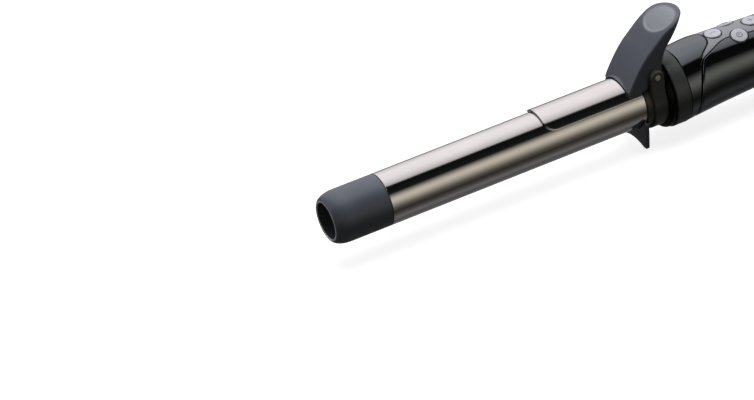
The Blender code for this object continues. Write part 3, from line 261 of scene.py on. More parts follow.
near_end = 1 * MM
ends = [BARREL_FRONT_X, BARREL_FRONT_X + near_end, BARREL_REAR_X - near_end, BARREL_REAR_X]
barrel = swept("barrel", [[(x, 0, 0) for x in ends]], BARREL_RADIUS, 160, False, PLATED)
wall = barrel.modifiers.new("wall", "SOLIDIFY")
wall.thickness = BARREL_WALL
wall.offset = -1
lip = barrel.modifiers.new("lip", "BEVEL")
lip.width = BARREL_LIP
lip.segments = 3
lip.limit_method = "ANGLE"
lip.angle_limit = radians(60)
fit(barrel, PLATED, "polished_barrel", "handle", "barrel_tube")

# ---------------------------------------------------------------------------------------------
# Inside the barrel: two extruded aluminium shells clamp a ceramic heating element, with a
# sensor and a fuse beside it and sleeved leads running back. A cast plug closes the front
# and a heat-proof resin ring seats the rear. They are slid in from the handle's end.


def handling_group():
    """Broad soft patches where a surface has been touched, wiped or has aged unevenly."""
    tree = bpy.data.node_groups.new("handling", "ShaderNodeTree")
    given, result = sockets(
        tree,
        [("Size", "Float", 60.0), ("Roughness", "Float", 0.4), ("Spread", "Float", 0.05)],
        [("Roughness", "Float"), ("Patches", "Float")],
    )
    place = tree.nodes.new("ShaderNodeTexCoord")
    patches = tree.nodes.new("ShaderNodeTexNoise")
    patches.inputs["Detail"].default_value = 4.0
    patches.inputs["Roughness"].default_value = 0.6
    centre = tree.nodes.new("ShaderNodeMath")
    centre.operation = "SUBTRACT"
    centre.inputs[1].default_value = 0.5
    level = tree.nodes.new("ShaderNodeMath")
    level.operation = "MULTIPLY_ADD"
    join = tree.links.new
    join(place.outputs["Object"], patches.inputs["Vector"])
    join(given["Size"], patches.inputs["Scale"])
    join(patches.outputs["Fac"], centre.inputs[0])
    join(centre.outputs["Value"], level.inputs[0])
    join(given["Spread"], level.inputs[1])
    join(given["Roughness"], level.inputs[2])
    join(level.outputs["Value"], result["Roughness"])
    join(patches.outputs["Fac"], result["Patches"])
    return tree


def grain_group():
    """The fine even grain of a spark-eroded mould, or of a cast or woven surface."""
    tree = bpy.data.node_groups.new("moulded_grain", "ShaderNodeTree")
    given, result = sockets(tree, [("Grains", "Float", 3000.0)], [("Height", "Float")])
    place = tree.nodes.new("ShaderNodeTexCoord")
    cells = tree.nodes.new("ShaderNodeTexVoronoi")
    cells.feature = "SMOOTH_F1"
    cloud = tree.nodes.new("ShaderNodeTexNoise")
    cloud.inputs["Detail"].default_value = 2.0
    mix = tree.nodes.new("ShaderNodeMath")
    mix.operation = "ADD"
    join = tree.links.new
    join(place.outputs["Object"], cells.inputs["Vector"])
    join(place.outputs["Object"], cloud.inputs["Vector"])
    join(given["Grains"], cells.inputs["Scale"])
    join(given["Grains"], cloud.inputs["Scale"])
    join(cells.outputs["Distance"], mix.inputs[0])
    join(cloud.outputs["Fac"], mix.inputs[1])
    join(mix.outputs["Value"], result["Height"])
    return tree


HANDLING = handling_group()
GRAIN = grain_group()


def moulded(name, low, high, roughness, spread, grains, depth, metallic=0.0, ior=1.5):
    """A moulded, cast or coated finish: uneven handling over a fine grain."""
    material, shader, tree = shader_of(name)
    shader.inputs["Metallic"].default_value = metallic
    shader.inputs["IOR"].default_value = ior
    handling = tree.nodes.new("ShaderNodeGroup")
    handling.node_tree = HANDLING
    handling.inputs["Roughness"].default_value = roughness
    handling.inputs["Spread"].default_value = spread
    grain = tree.nodes.new("ShaderNodeGroup")
    grain.node_tree = GRAIN
    grain.inputs["Grains"].default_value = grains
    tree.links.new(handling.outputs["Roughness"], shader.inputs["Roughness"])
    tinted(tree, shader, handling.outputs["Patches"], low, high)
    bumped(tree, shader, grain.outputs["Height"], depth)
    return material


def finish_nodes(material, *names):
    """Gives CAD nodes whose shape is right their finish."""
    for name in names:
        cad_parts[name].data.materials.clear()
        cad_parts[name].data.materials.append(material)


EXTRUDED = moulded("extruded_aluminium", (0.62, 0.62, 0.62), (0.74, 0.74, 0.73), 0.42, 0.12,
                   1800, 0.004 * MM, metallic=1.0)
CERAMIC = moulded("fired_ceramic", (0.74, 0.71, 0.64), (0.83, 0.81, 0.76), 0.62, 0.1,
                  2600, 0.006 * MM)
HEAT_RESIN = moulded("heat_proof_resin", (0.075, 0.058, 0.042), (0.12, 0.098, 0.078), 0.6, 0.12,
                     2200, 0.01 * MM)
SLEEVING = moulded("glass_fibre_sleeving", (0.42, 0.38, 0.31), (0.62, 0.57, 0.48), 0.75, 0.1,
                   3500, 0.03 * MM)
STEEL = polished_metal("turned_steel", (0.48, 0.47, 0.45), (0.6, 0.59, 0.57),
                       0.27, 0.12, 0.0015 * MM)
finish_nodes(EXTRUDED, "heater_shell_upper", "heater_shell_lower", "barrel_plug")
finish_nodes(CERAMIC, "ceramic_heater")
finish_nodes(HEAT_RESIN, "thermistor", "barrel_bushing")
finish_nodes(STEEL, "thermal_fuse")
finish_nodes(SLEEVING, "heater_lead_live", "heater_lead_neutral", "sensor_lead")

# ---------------------------------------------------------------------------------------------
# Cool tip: the heat-safe end that the other hand holds. It is a cup moulded in satin slate
# plastic, domed in front, with a thin rim round a deep open mouth; a spigot behind it plugs
# the barrel, and one screw through the floor of the mouth holds it.

TIP_FRONT_X = -160.7 * MM
TIP_REAR_X = -133.0 * MM
TIP_DOME_LENGTH = 8.0 * MM
TIP_LIP = 0.35 * MM
TIP_MOUTH_RADIUS = 8.8 * MM
TIP_RIM_ROUNDING = 0.3 * MM
TIP_MOUTH_DEPTH = 18 * MM
TIP_MOUTH_DRAFT = 0.4 * MM
TIP_FLOOR = 2 * MM
TIP_SPIGOT_LENGTH = 10 * MM
TIP_SPIGOT_WALL = 2 * MM
TIP_SPIGOT_PLAY = 0.3 * MM
SCREW_HOLE = 1.5 * MM


def eased(corners, closed=True, steps=6):
    """A profile whose corners, each (x, height, rounding), are turned into arcs."""
    places = [Vector(corner[:2]) for corner in corners]
    guard = 0.12 * MM
    points = []
    for index, (corner, place) in enumerate(zip(corners, places)):
        rounding = corner[2]
        if rounding == 0 or (not closed and index in (0, len(corners) - 1)):
            points.append(place)
            continue
        back = (places[index - 1] - place).normalized()
        on = (places[(index + 1) % len(places)] - place).normalized()
        half = back.angle(on) / 2
        reach = rounding / tan(half)
        centre = place + (back + on).normalized() * (rounding / sin(half))
        start = place + back * reach - centre
        end = place + on * reach - centre
        points.append(centre + start + back * guard)
        for step in range(steps + 1):
            points.append(centre + start.slerp(end, step / steps).normalized() * rounding)
        points.append(centre + end + on * guard)
    return points


def skin(rings, looped=True):
    """Joins rings of points in order. A ring of one point is a pole, and a loop closes on itself."""
    bm = bmesh.new()
    made = [[bm.verts.new(point) for point in ring] for ring in rings]
    pairs = list(zip(made, made[1:]))
    if looped:
        pairs.append((made[-1], made[0]))
    for first, second in pairs:
        count = max(len(first), len(second))
        for step in range(count if count > 2 else 0):
            corners = [first[step % len(first)], first[(step + 1) % len(first)],
                       second[(step + 1) % len(second)], second[step % len(second)]]
            bm.faces.new(list(dict.fromkeys(corners)))
    return bm


def turned(profile, steps=144, looped=True, height=0.0):
    """A profile of (x, radius) turned about the line at this height that runs along X."""
    rings = []
    for x, radius in profile:
        if radius < 0.001 * MM:
            rings.append([(x, 0, height)])
            continue
        angles = [2 * pi * step / steps for step in range(steps)]
        rings.append([(x, radius * sin(a), height + radius * cos(a)) for a in angles])
    return skin(rings, looped)


SATIN_SLATE = moulded("satin_slate", (0.044, 0.051, 0.066), (0.052, 0.06, 0.077), 0.4, 0.06,
                      3800, 0.006 * MM)
# The pale grey that painted highlights on the satin slate lighten towards.
HIGHLIGHT_SLATE = (0.6, 0.61, 0.64)


def paint_highlight_into(material, colour):
    """Paints highlight into a plastic: lightens it as far as each piece's own painted highlight value
    says.
    """
    tree = material.node_tree
    shader = tree.nodes["Principled BSDF"]
    painted_highlight = tree.nodes.new("ShaderNodeAttribute")
    painted_highlight.attribute_name = "painted_highlight"
    mix = tree.nodes.new("ShaderNodeMix")
    mix.data_type = "RGBA"
    mix.inputs["B"].default_value = (*colour, 1)
    tree.links.new(painted_highlight.outputs["Fac"], mix.inputs["Factor"])
    tree.links.new(shader.inputs["Base Color"].links[0].from_socket, mix.inputs["A"])
    tree.links.new(mix.outputs["Result"], shader.inputs["Base Color"])


def set_painted_highlight(made, amount_at):
    """Sets the painted highlight value of each point of a piece, from 0 to 1."""
    values = made.data.attributes.new("painted_highlight", "FLOAT", "POINT")
    for vertex in made.data.vertices:
        values.data[vertex.index].value = amount_at(vertex.co)


# Painted highlight: the satin slate is lightened towards a pale grey as far as each piece's painted
# highlight value says.
paint_highlight_into(SATIN_SLATE, HIGHLIGHT_SLATE)

spigot = BARREL_RADIUS - BARREL_WALL - TIP_SPIGOT_PLAY
floor_x = TIP_FRONT_X + TIP_MOUTH_DEPTH
mouth_edge = TIP_MOUTH_RADIUS + TIP_LIP
dome_rise = BARREL_RADIUS - mouth_edge
dome_angles = [radians(angle) for angle in range(6, 90, 6)]
tip_profile = eased([
    (floor_x + TIP_FLOOR, SCREW_HOLE, 0),
    (floor_x, SCREW_HOLE, 0.1 * MM),
    (floor_x, TIP_MOUTH_RADIUS - TIP_MOUTH_DRAFT, 0.8 * MM),
    (TIP_FRONT_X + 2 * TIP_LIP, TIP_MOUTH_RADIUS, 0),
    (TIP_FRONT_X, TIP_MOUTH_RADIUS, TIP_RIM_ROUNDING),
    (TIP_FRONT_X, mouth_edge, 0),
    *[(TIP_FRONT_X + TIP_DOME_LENGTH * (1 - cos(a)), mouth_edge + dome_rise * sin(a), 0)
      for a in dome_angles],
    (TIP_FRONT_X + TIP_DOME_LENGTH, BARREL_RADIUS, 0),
    (TIP_REAR_X, BARREL_RADIUS, 0.25 * MM),
    (TIP_REAR_X, spigot, 0.1 * MM),
    (TIP_REAR_X + TIP_SPIGOT_LENGTH, spigot, 0.3 * MM),
    (TIP_REAR_X + TIP_SPIGOT_LENGTH, spigot - TIP_SPIGOT_WALL, 0.3 * MM),
    (floor_x + TIP_FLOOR, spigot - TIP_SPIGOT_WALL, 0),
], steps=10)


def rim_highlight(point):
    """A painted highlight: the mouth's rim shows as a thin light line."""
    away = hypot(point.x - TIP_FRONT_X, hypot(point.y, point.z) - TIP_MOUTH_RADIUS - TIP_LIP / 2)
    return min(1, max(0, 2 - away / TIP_LIP))


tip = object_from("cool_tip_cup", turned(tip_profile))
# Painted highlight along the mouth's rim.
set_painted_highlight(tip, rim_highlight)
fit(tip, SATIN_SLATE, "satin_slate_plastic", "handle", "cool_tip")
finish_nodes(STEEL, "tip_screw")

# ---------------------------------------------------------------------------------------------
# Hinge bracket: a die-cast sleeve round the root of the barrel, stepped down in front, with two
# rounded ears that carry the clamp's pin. It is coated in satin black, and its top is open for
# the spring.

BRACKET_LENGTH = 19 * MM
BRACKET_INNER = 12.8 * MM
BRACKET_OUTER = 14.8 * MM
PIN_X = 6.2 * MM
PIN_Z = 15.7 * MM
PIN_HOLE = 1.6 * MM
EAR_INNER_Y = 11.9 * MM
EAR_OUTER_Y = 14.5 * MM
EAR_RADIUS = 3.3 * MM
EAR_FOOT_Z = -2.3 * MM
NECK_LENGTH = 3.1 * MM
NECK_RADIUS = 13.5 * MM
EAR_ROUNDING = 0.7 * MM
WINDOW_HALF_WIDTH = 8.5 * MM
WINDOW_BEFORE_PIN = 4.3 * MM
CLEAR_BESIDE_PIN = 5 * MM
CUT_REACH = 20 * MM  # how far cutters run past what they cut


def prism(outline, along, low, high):
    """An outline pushed along X, Y or Z. Its points hold the other two coordinates in order."""
    ends = []
    for level in (low, high):
        points = [list(point) for point in outline]
        for point in points:
            point.insert("XYZ".index(along), level)
        ends.append(points)
    bm = skin(ends, looped=False)
    bm.verts.ensure_lookup_table()
    count = len(outline)
    bm.faces.new(bm.verts[:count])
    bm.faces.new(bm.verts[count:])
    return bm


def arc(centre, radius, start, end, steps):
    """Points on a circle, with angles in degrees from the first axis towards the second."""
    angles = [radians(start + (end - start) * step / steps) for step in range(steps + 1)]
    return [(centre[0] + radius * cos(a), centre[1] + radius * sin(a)) for a in angles]


def moved(bm, place):
    bmesh.ops.transform(bm, matrix=place, verts=bm.verts)
    return bm


def bevelled(made, width, segments=3, angle=40):
    """Breaks an object's edges and keeps the result as plain mesh."""
    step = made.modifiers.new("broken_edges", "BEVEL")
    step.width = width
    step.segments = segments
    step.limit_method = "ANGLE"
    step.angle_limit = radians(angle)
    return settle(made)


def worked(made, operation, *tools):
    """Adds tools to an object or cuts them from it, then takes the tools away."""
    for tool in tools:
        step = made.modifiers.new(operation.lower(), "BOOLEAN")
        step.operation = operation
        step.object = tool
    settle(made)
    bm = bmesh.new()
    bm.from_mesh(made.data)
    bmesh.ops.remove_doubles(bm, verts=bm.verts, dist=0.002 * MM)
    bmesh.ops.dissolve_degenerate(bm, edges=bm.edges, dist=0.001 * MM)
    bmesh.ops.holes_fill(bm, edges=[edge for edge in bm.edges if edge.is_boundary], sides=0)
    bm.to_mesh(made.data)
    bm.free()
    for tool in tools:
        bpy.data.objects.remove(tool)
    return made


def rod(low, high, radius, steps=48):
    return turned([(low, 0), (low, radius), (high, radius), (high, 0)], steps, False)


SATIN_BLACK = moulded("satin_black", (0.025, 0.028, 0.028), (0.035, 0.038, 0.037), 0.36, 0.08,
                      3400, 0.006 * MM)

sleeve_profile = eased([(0, BRACKET_INNER, 0.15 * MM), (BRACKET_LENGTH, BRACKET_INNER, 0.15 * MM),
                        (BRACKET_LENGTH, BRACKET_OUTER, 0.3 * MM),
                        (NECK_LENGTH, BRACKET_OUTER, 0.5 * MM), (NECK_LENGTH, NECK_RADIUS, 0.2 * MM),
                        (0, NECK_RADIUS, 0.2 * MM)])
bracket = object_from("bracket", turned(sleeve_profile))
ear_outline = [*arc((PIN_X, PIN_Z), EAR_RADIUS, 0, 180, 28),
               *arc((PIN_X, EAR_FOOT_Z + EAR_RADIUS), EAR_RADIUS, 180, 360, 28)]
ears = []
for side in (-1, 1):
    low, high = sorted((side * (EAR_INNER_Y - 1 * MM), side * EAR_OUTER_Y))
    ears.append(bevelled(object_from("ear", prism(ear_outline, "Y", low, high)), EAR_ROUNDING, 4))
worked(bracket, "UNION", *ears)
pin_turn = Matrix.Translation((PIN_X, 0, PIN_Z)) @ Matrix.Rotation(pi / 2, 4, "Z")


def upright_box(low_x, high_x, low_z):
    """An outline from this height up to above everything."""
    return [(low_x, low_z), (high_x, low_z), (high_x, 2 * CUT_REACH), (low_x, 2 * CUT_REACH)]


window = upright_box(PIN_X - WINDOW_BEFORE_PIN, PIN_X + EAR_RADIUS, 6 * MM)
between = upright_box(PIN_X - CLEAR_BESIDE_PIN, PIN_X + CLEAR_BESIDE_PIN, 0)
window_tool = object_from("window", prism(window, "Y", -WINDOW_HALF_WIDTH, WINDOW_HALF_WIDTH))
clear_ring = object_from("clear_ring", turned([
    (-1 * MM, BRACKET_OUTER + 0.02 * MM),
    (PIN_X + CLEAR_BESIDE_PIN, BRACKET_OUTER + 0.02 * MM),
    (PIN_X + CLEAR_BESIDE_PIN, 30 * MM), (-1 * MM, 30 * MM)]))
space = object_from("space", prism(between, "Y", -EAR_INNER_Y, EAR_INNER_Y))
worked(space, "INTERSECT", clear_ring)
bore_tool = object_from("bore", rod(-1 * MM, BRACKET_LENGTH + 1 * MM, BRACKET_INNER, 144))
pin_tool = object_from("pin_hole", moved(rod(-CUT_REACH, CUT_REACH, PIN_HOLE), pin_turn))
worked(bracket, "DIFFERENCE", space, bore_tool, window_tool, pin_tool)
fit(bracket, SATIN_BLACK, "satin_black_plastic", "handle", "hinge_bracket")

# ---------------------------------------------------------------------------------------------
# Hinge pin and torsion spring: a nickel-plated steel pin pressed through both ears, with its
# ends chamfered, and a spring of round wire coiled on it. One leg of the spring lies on the
# bracket's neck and the other pushes up under the lever.

PIN_RADIUS = 1.5 * MM
PIN_END_Y = 14.7 * MM
PIN_CHAMFER = 0.4 * MM
SPRING_WIRE = 0.4 * MM
SPRING_COIL = 2.3 * MM
SPRING_HALF_WIDTH = 5.2 * MM
SPRING_TURNS = 5
SPRING_SMOOTHNESS = 28
SPRING_LEG_RISE = 8.6 * MM
SPRING_REST_X = 1.2 * MM

NICKEL = polished_metal("plated_pin", (0.62, 0.58, 0.47), (0.72, 0.68, 0.57),
                        0.42, 0.08, 0.001 * MM)
pin_profile = eased([(-PIN_END_Y, 0, 0), (-PIN_END_Y, PIN_RADIUS, PIN_CHAMFER),
                     (PIN_END_Y, PIN_RADIUS, PIN_CHAMFER), (PIN_END_Y, 0, 0)], closed=False)
pin = object_from("pin", moved(turned(pin_profile, 64, looped=False), pin_turn))
fit(pin, NICKEL, "steel", "handle", "hinge_pin")

route = [(PIN_X + 0.8 * MM, -SPRING_HALF_WIDTH, PIN_Z + SPRING_LEG_RISE)]
turns = SPRING_TURNS + 0.5
for step in range(int(turns * SPRING_SMOOTHNESS) + 1):
    angle = 2 * pi * step / SPRING_SMOOTHNESS
    y = SPRING_HALF_WIDTH * (2 * step / (turns * SPRING_SMOOTHNESS) - 1)
    route.append((PIN_X + SPRING_COIL * cos(angle), y, PIN_Z + SPRING_COIL * sin(angle)))
route.append((PIN_X - SPRING_COIL - 0.6 * MM, SPRING_HALF_WIDTH, PIN_Z - 0.6 * MM))
rest_z = sqrt(NECK_RADIUS**2 - SPRING_HALF_WIDTH**2) + SPRING_WIRE
route.append((SPRING_REST_X, SPRING_HALF_WIDTH, rest_z))
spring = swept("spring", [route], SPRING_WIRE, 16, True, STEEL)
fit(spring, STEEL, "spring_steel", "clamp", "torsion_spring", sharp=50)

# ---------------------------------------------------------------------------------------------
# Rest foot: a plate moulded in the same satin slate as the lever, set against the bracket's
# front edge. Its two feet flare out and hold the hot barrel off the table, with a low arch
# between them.

FOOT_FRONT_X = -2.3 * MM
FOOT_REAR_X = -0.3 * MM
FOOT_SPREAD = 10 * MM
FOOT_DROP = 20.4 * MM
FOOT_LAND = 1.2 * MM
FOOT_ARCH = 1.7 * MM
FOOT_ROUNDING = 0.45 * MM
FOOT_SHOULDER = 27  # degrees below level
FOOT_FLARE = 2.6 * MM
FOOT_FLARE_Z = -12.2 * MM


def smooth(points, steps):
    """A Catmull-Rom curve through the points, with this many steps between each two."""
    points = [Vector(point) for point in points]
    padded = [2 * points[0] - points[1], *points, 2 * points[-1] - points[-2]]
    curve = []
    for index in range(len(points) - 1):
        before, start, end, after = padded[index : index + 4]
        for step in range(steps):
            t = step / steps
            bend = 2 * before - 5 * start + 4 * end - after
            twist = 3 * start - before - 3 * end + after
            curve.append((2 * start + (end - before) * t + bend * t**2 + twist * t**3) / 2)
    return [*curve, points[-1]]


shoulder = radians(-FOOT_SHOULDER)
flank = (BRACKET_OUTER * cos(shoulder), BRACKET_OUTER * sin(shoulder))
flare = (FOOT_SPREAD + FOOT_FLARE, FOOT_FLARE_Z)
outer_foot = (FOOT_SPREAD + FOOT_LAND, -FOOT_DROP)
right = [tuple(point) for point in smooth([flank, flare, outer_foot], 12)]
half_span = FOOT_SPREAD - FOOT_LAND
arch_radius = (half_span**2 + FOOT_ARCH**2) / (2 * FOOT_ARCH)
lean = asin(half_span / arch_radius) * 180 / pi
arch = arc((0, FOOT_ARCH - FOOT_DROP - arch_radius), arch_radius, 90 - lean, 90 + lean, 20)
left = [(-y, z) for y, z in reversed(right)]
bore = arc((0, 0), BRACKET_INNER, 180 + FOOT_SHOULDER, 360 - FOOT_SHOULDER, 56)
foot = object_from("foot", prism([*right, *arch, *left, *bore], "X", FOOT_FRONT_X, FOOT_REAR_X))
bevelled(foot, FOOT_ROUNDING, 4)
fit(foot, SATIN_SLATE, "satin_slate_plastic", "handle", "rest_foot")

# ---------------------------------------------------------------------------------------------
# Clamp plate: a curved sheet of the same plated metal that lies over the top of the barrel and
# holds the hair to it. It is pressed to shape, its front corners are rounded and its edges
# are tumbled smooth. Two steel rivets hold it to the lever.

CLAMP_FRONT_X = -50.9 * MM
CLAMP_REAR_X = -1.0 * MM
CLAMP_INNER = 12.85 * MM
CLAMP_OUTER = 13.65 * MM
CLAMP_HALF_ANGLE = radians(56)
CLAMP_CORNER = 6.0 * MM
CLAMP_EDGE = 0.22 * MM
CLAMP_ROWS = 14
CLAMP_COLUMNS = 96

rows = [CLAMP_FRONT_X + CLAMP_CORNER * (1 - cos(pi / 2 * step / CLAMP_ROWS))
        for step in range(CLAMP_ROWS + 1)]
rows += [CLAMP_FRONT_X + CLAMP_CORNER + (CLAMP_REAR_X - CLAMP_FRONT_X - CLAMP_CORNER) * share
         for share in (0.02, 0.2, 0.4, 0.6, 0.8, 0.98, 1)]
rings = []
for x in rows:
    short = max(0, CLAMP_FRONT_X + CLAMP_CORNER - x)
    lost = CLAMP_CORNER - sqrt(CLAMP_CORNER**2 - short**2)
    half = CLAMP_HALF_ANGLE - lost / CLAMP_OUTER
    lean = [half * (2 * step / CLAMP_COLUMNS - 1) for step in range(CLAMP_COLUMNS + 1)]
    rings.append([(x, CLAMP_OUTER * sin(a), CLAMP_OUTER * cos(a)) for a in lean]
                 + [(x, CLAMP_INNER * sin(a), CLAMP_INNER * cos(a)) for a in reversed(lean)])


def capped(rings):
    """Rings joined in order, with a face over the first and the last."""
    bm = skin(rings, looped=False)
    bm.verts.ensure_lookup_table()
    bm.faces.new(bm.verts[: len(rings[0])])
    bm.faces.new(bm.verts[-len(rings[-1]) :])
    return bm


def strip_capped(rings):
    """Rings joined in order. The ends of each thin ring are closed by a strip of four-sided faces."""
    bm = skin(rings, looped=False)
    bm.verts.ensure_lookup_table()
    count = len(rings[0])
    for start in (0, len(rings) * count - count):
        for step in range(count // 2 - 1):
            far = start + count - 1 - step
            bm.faces.new([bm.verts[index] for index in
                          (start + step, start + step + 1, far - 1, far)])
    return bm


clamp = object_from("clamp", strip_capped(rings))
bevelled(clamp, CLAMP_EDGE, 3, 50)
fit(clamp, PLATED, "polished_barrel", "clamp", "clamp_plate")
finish_nodes(STEEL, "lever_rivet_left", "lever_rivet_right")

# ---------------------------------------------------------------------------------------------
# Thumb lever: moulded in satin slate plastic in one piece with its side walls, which reach down
# to the pin. Its face is broad and almost flat, rises in a long curve and ends in a half
# round with an oval dish for the thumb. It is hollow behind.

LEVER_HALF_WIDTH = 11.3 * MM
LEVER_WALL = 2.3 * MM
LEVER_TOP_WALL = 2.6 * MM
LEVER_EDGE = 0.8 * MM
LEVER_LIP = 0.4 * MM
LEVER_CROWN = 0.5 * MM
LEVER_CLEAR_OF_PLATE = CLAMP_OUTER + 0.3 * MM
LEVER_CLEAR_OF_SLEEVE = BRACKET_OUTER + 0.3 * MM
DISH_DEPTH = 0.75 * MM
DISH_LENGTH = 17 * MM
DISH_WIDTH = 19 * MM
DISH_MIDDLE = 10.2 * MM  # from the lever's end
DISH_STEP = 0.55  # share of its depth that lies in its edge
DISH_EDGE = 0.16
# Strength of the painted highlight in the dish, and how soft its edge is.
DISH_HIGHLIGHT = 0.14
DISH_HIGHLIGHT_EDGE = 0.1
HOLLOW_FROM = 0.18  # these two are shares of the lever's length
HOLLOW_RISE = 0.1
HOLLOW_END = 5 * MM
HOLLOW_FALL = 8 * MM
WALL_SHARES = (0.08, 0.3, 0.6, 0.92, 1)
LEVER_STEPS = 10
LEVER_COLUMNS = 40

face_line = [(-8.0, 11.5), (-6.6, 14.0), (-4.2, 17.6), (-1.0, 22.0), (3.0, 26.4), (6.4, 29.3),
             (11.1, 33.2), (14.6, 35.6), (18.3, 37.6), (22.6, 39.2), (27.7, 40.0)]
wall_line = [(-7.6, 8.6), (-4.4, 7.8), (-1.2, 7.6), (2.9, 11.8), (6.2, 12.4), (9.1, 14.0),
             (10.9, 21.2), (13.2, 26.6), (16.9, 31.0), (21.6, 35.2), (27.0, 37.6)]
face_line = smooth([(x * MM, z * MM) for x, z in face_line], LEVER_STEPS)
wall_line = smooth([(x * MM, z * MM) for x, z in wall_line], LEVER_STEPS)
reach = [0.0]
for first, second in zip(face_line, face_line[1:]):
    reach.append(reach[-1] + (second - first).length)
lever_length = reach[-1]
round_from = lever_length - LEVER_HALF_WIDTH


def line_at(line, along):
    """The point of a line, and its direction, at this distance along the lever's face."""
    for index in range(len(reach) - 1):
        if along <= reach[index + 1] + 1e-9:
            share = (along - reach[index]) / (reach[index + 1] - reach[index])
            ahead = face_line[index + 1] - face_line[index]
            return line[index].lerp(line[index + 1], share), ahead.normalized()
    return line[-1], (face_line[-1] - face_line[-2]).normalized()


def lever_half(along):
    past = max(0, along - round_from)
    return sqrt(max(LEVER_HALF_WIDTH**2 - past**2, 0))


def dish_away(along, across):
    """How far out a place lies in the dish: 0 in its middle, 1 at its edge."""
    return hypot((along - lever_length + DISH_MIDDLE) / DISH_LENGTH * 2, across / DISH_WIDTH * 2)


def lever_face(along, across):
    """A point of the face: crowned, dished for the thumb, and rounded over at its edge."""
    place, ahead = line_at(face_line, along)
    outwards = Vector((-ahead.y, ahead.x))
    past = along - round_from
    if past > 0:
        inside = LEVER_HALF_WIDTH - hypot(past, across)
    else:
        inside = LEVER_HALF_WIDTH - abs(across)
    inside = max(0, inside)
    short = max(0, LEVER_EDGE - inside)
    drop = LEVER_EDGE - sqrt(LEVER_EDGE**2 - short**2)
    drop += LEVER_CROWN * (across / LEVER_HALF_WIDTH) ** 2
    away = dish_away(along, across)
    if away < 1:
        edge = min(1, (1 - away) / DISH_EDGE)
        step = DISH_STEP * edge * edge * (3 - 2 * edge)
        drop += DISH_DEPTH * (step + (1 - DISH_STEP) * (1 - away**2))
    place = place - outwards * drop
    return Vector((place.x, across, place.y))


def clear_of_barrel(point, thickness=0.0):
    """Lifts a point until it clears the clamp plate or the bracket's sleeve."""
    least = LEVER_CLEAR_OF_PLATE if point.x < CLAMP_REAR_X else LEVER_CLEAR_OF_SLEEVE
    least += thickness
    return Vector((point.x, point.y, max(point.z, sqrt(least**2 - point.y**2))))


def lever_ring(along):
    """One section of the lever: over the face, down a wall, back through the hollow."""
    half = lever_half(along)
    shares = [-cos(pi * step / LEVER_COLUMNS) for step in range(LEVER_COLUMNS + 1)]
    over = [lever_face(along, share * half) for share in shares]
    foot = line_at(wall_line, along)[0]
    low = Vector((foot.x, 0, foot.y))
    ceiling = lever_face(along, 0)
    depth = low - ceiling
    behind = min(1, max(0, (along / lever_length - HOLLOW_FROM) / HOLLOW_RISE))
    before = min(1, max(0, (lever_length - HOLLOW_END - along) / HOLLOW_FALL))
    open_share = (1 - LEVER_TOP_WALL / depth.length) * min(behind, before)
    inner_half = max(half - LEVER_WALL, 0.4 * half)
    roof = low - depth * open_share
    ring = [clear_of_barrel(point, LEVER_LIP) for point in over]
    ring += [over[-1].lerp(Vector((low.x, half, low.z)), share) for share in WALL_SHARES]
    ring.append(Vector((low.x, inner_half, low.z)))
    shares = [cos(pi * step / 20) for step in range(21)]
    ring += [Vector((roof.x, share * inner_half, roof.z)) for share in shares]
    ring.append(Vector((low.x, -inner_half, low.z)))
    ring += [over[0].lerp(Vector((low.x, -half, low.z)), share)
             for share in reversed(WALL_SHARES)]
    return [clear_of_barrel(point) for point in ring]


places = [round_from * share / 60 for share in range(60)]
places += [round_from + LEVER_HALF_WIDTH * sin(pi / 2 * share / 40) for share in range(40)]
places.append(lever_length - 0.002 * MM)
lever = object_from("lever", capped([lever_ring(along) for along in places]))
lever_pin_tool = object_from("lever_pin_hole", moved(rod(-CUT_REACH, CUT_REACH, PIN_HOLE), pin_turn))
worked(lever, "DIFFERENCE", lever_pin_tool)


def dish_highlight(point):
    """A painted highlight: the dish is a little lighter than the rest of the face."""
    for index, (first, second) in enumerate(zip(face_line, face_line[1:])):
        if first.x <= point.x <= second.x:
            share = (point.x - first.x) / (second.x - first.x)
            along = reach[index] + (reach[index + 1] - reach[index]) * share
            below = first.y + (second.y - first.y) * share - point.z
            if below > LEVER_TOP_WALL / 2:
                return 0
            return DISH_HIGHLIGHT * min(1, max(0, (1 - dish_away(along, point.y)) / DISH_HIGHLIGHT_EDGE))
    return 0


# Painted highlight over the thumb dish.
set_painted_highlight(lever, dish_highlight)
fit(lever, SATIN_SLATE, "satin_slate_plastic", "clamp", "thumb_lever", sharp=50)

# ---------------------------------------------------------------------------------------------
# Rings at the root of the handle: a bulging ring in deep black, then a broad flat-sided collar
# in satin black. Both are turned-down mouldings threaded over the bracket's sleeve.

RING_BORE = 15.1 * MM
FLANGE_FRONT_X = 9.9 * MM
FLANGE_REAR_X = 13.2 * MM
FLANGE_RADIUS = 17.2 * MM
COLLAR_FRONT_X = 13.5 * MM
COLLAR_REAR_X = 20.8 * MM
COLLAR_RADIUS = 17.8 * MM

GLOSS_BLACK = moulded("gloss_black", (0.0012, 0.0012, 0.0012), (0.002, 0.002, 0.002), 0.06, 0.02,
                      1500, 0.0004 * MM, ior=2.4)
GLOSS_BLACK.node_tree.nodes["Principled BSDF"].inputs["Specular Tint"].default_value = (
    0.84, 0.94, 1.0, 1)
DEEP_BLACK = moulded("deep_black", (0.001, 0.001, 0.001), (0.0018, 0.0018, 0.0018), 0.24, 0.04,
                     1500, 0.001 * MM, ior=1.2)

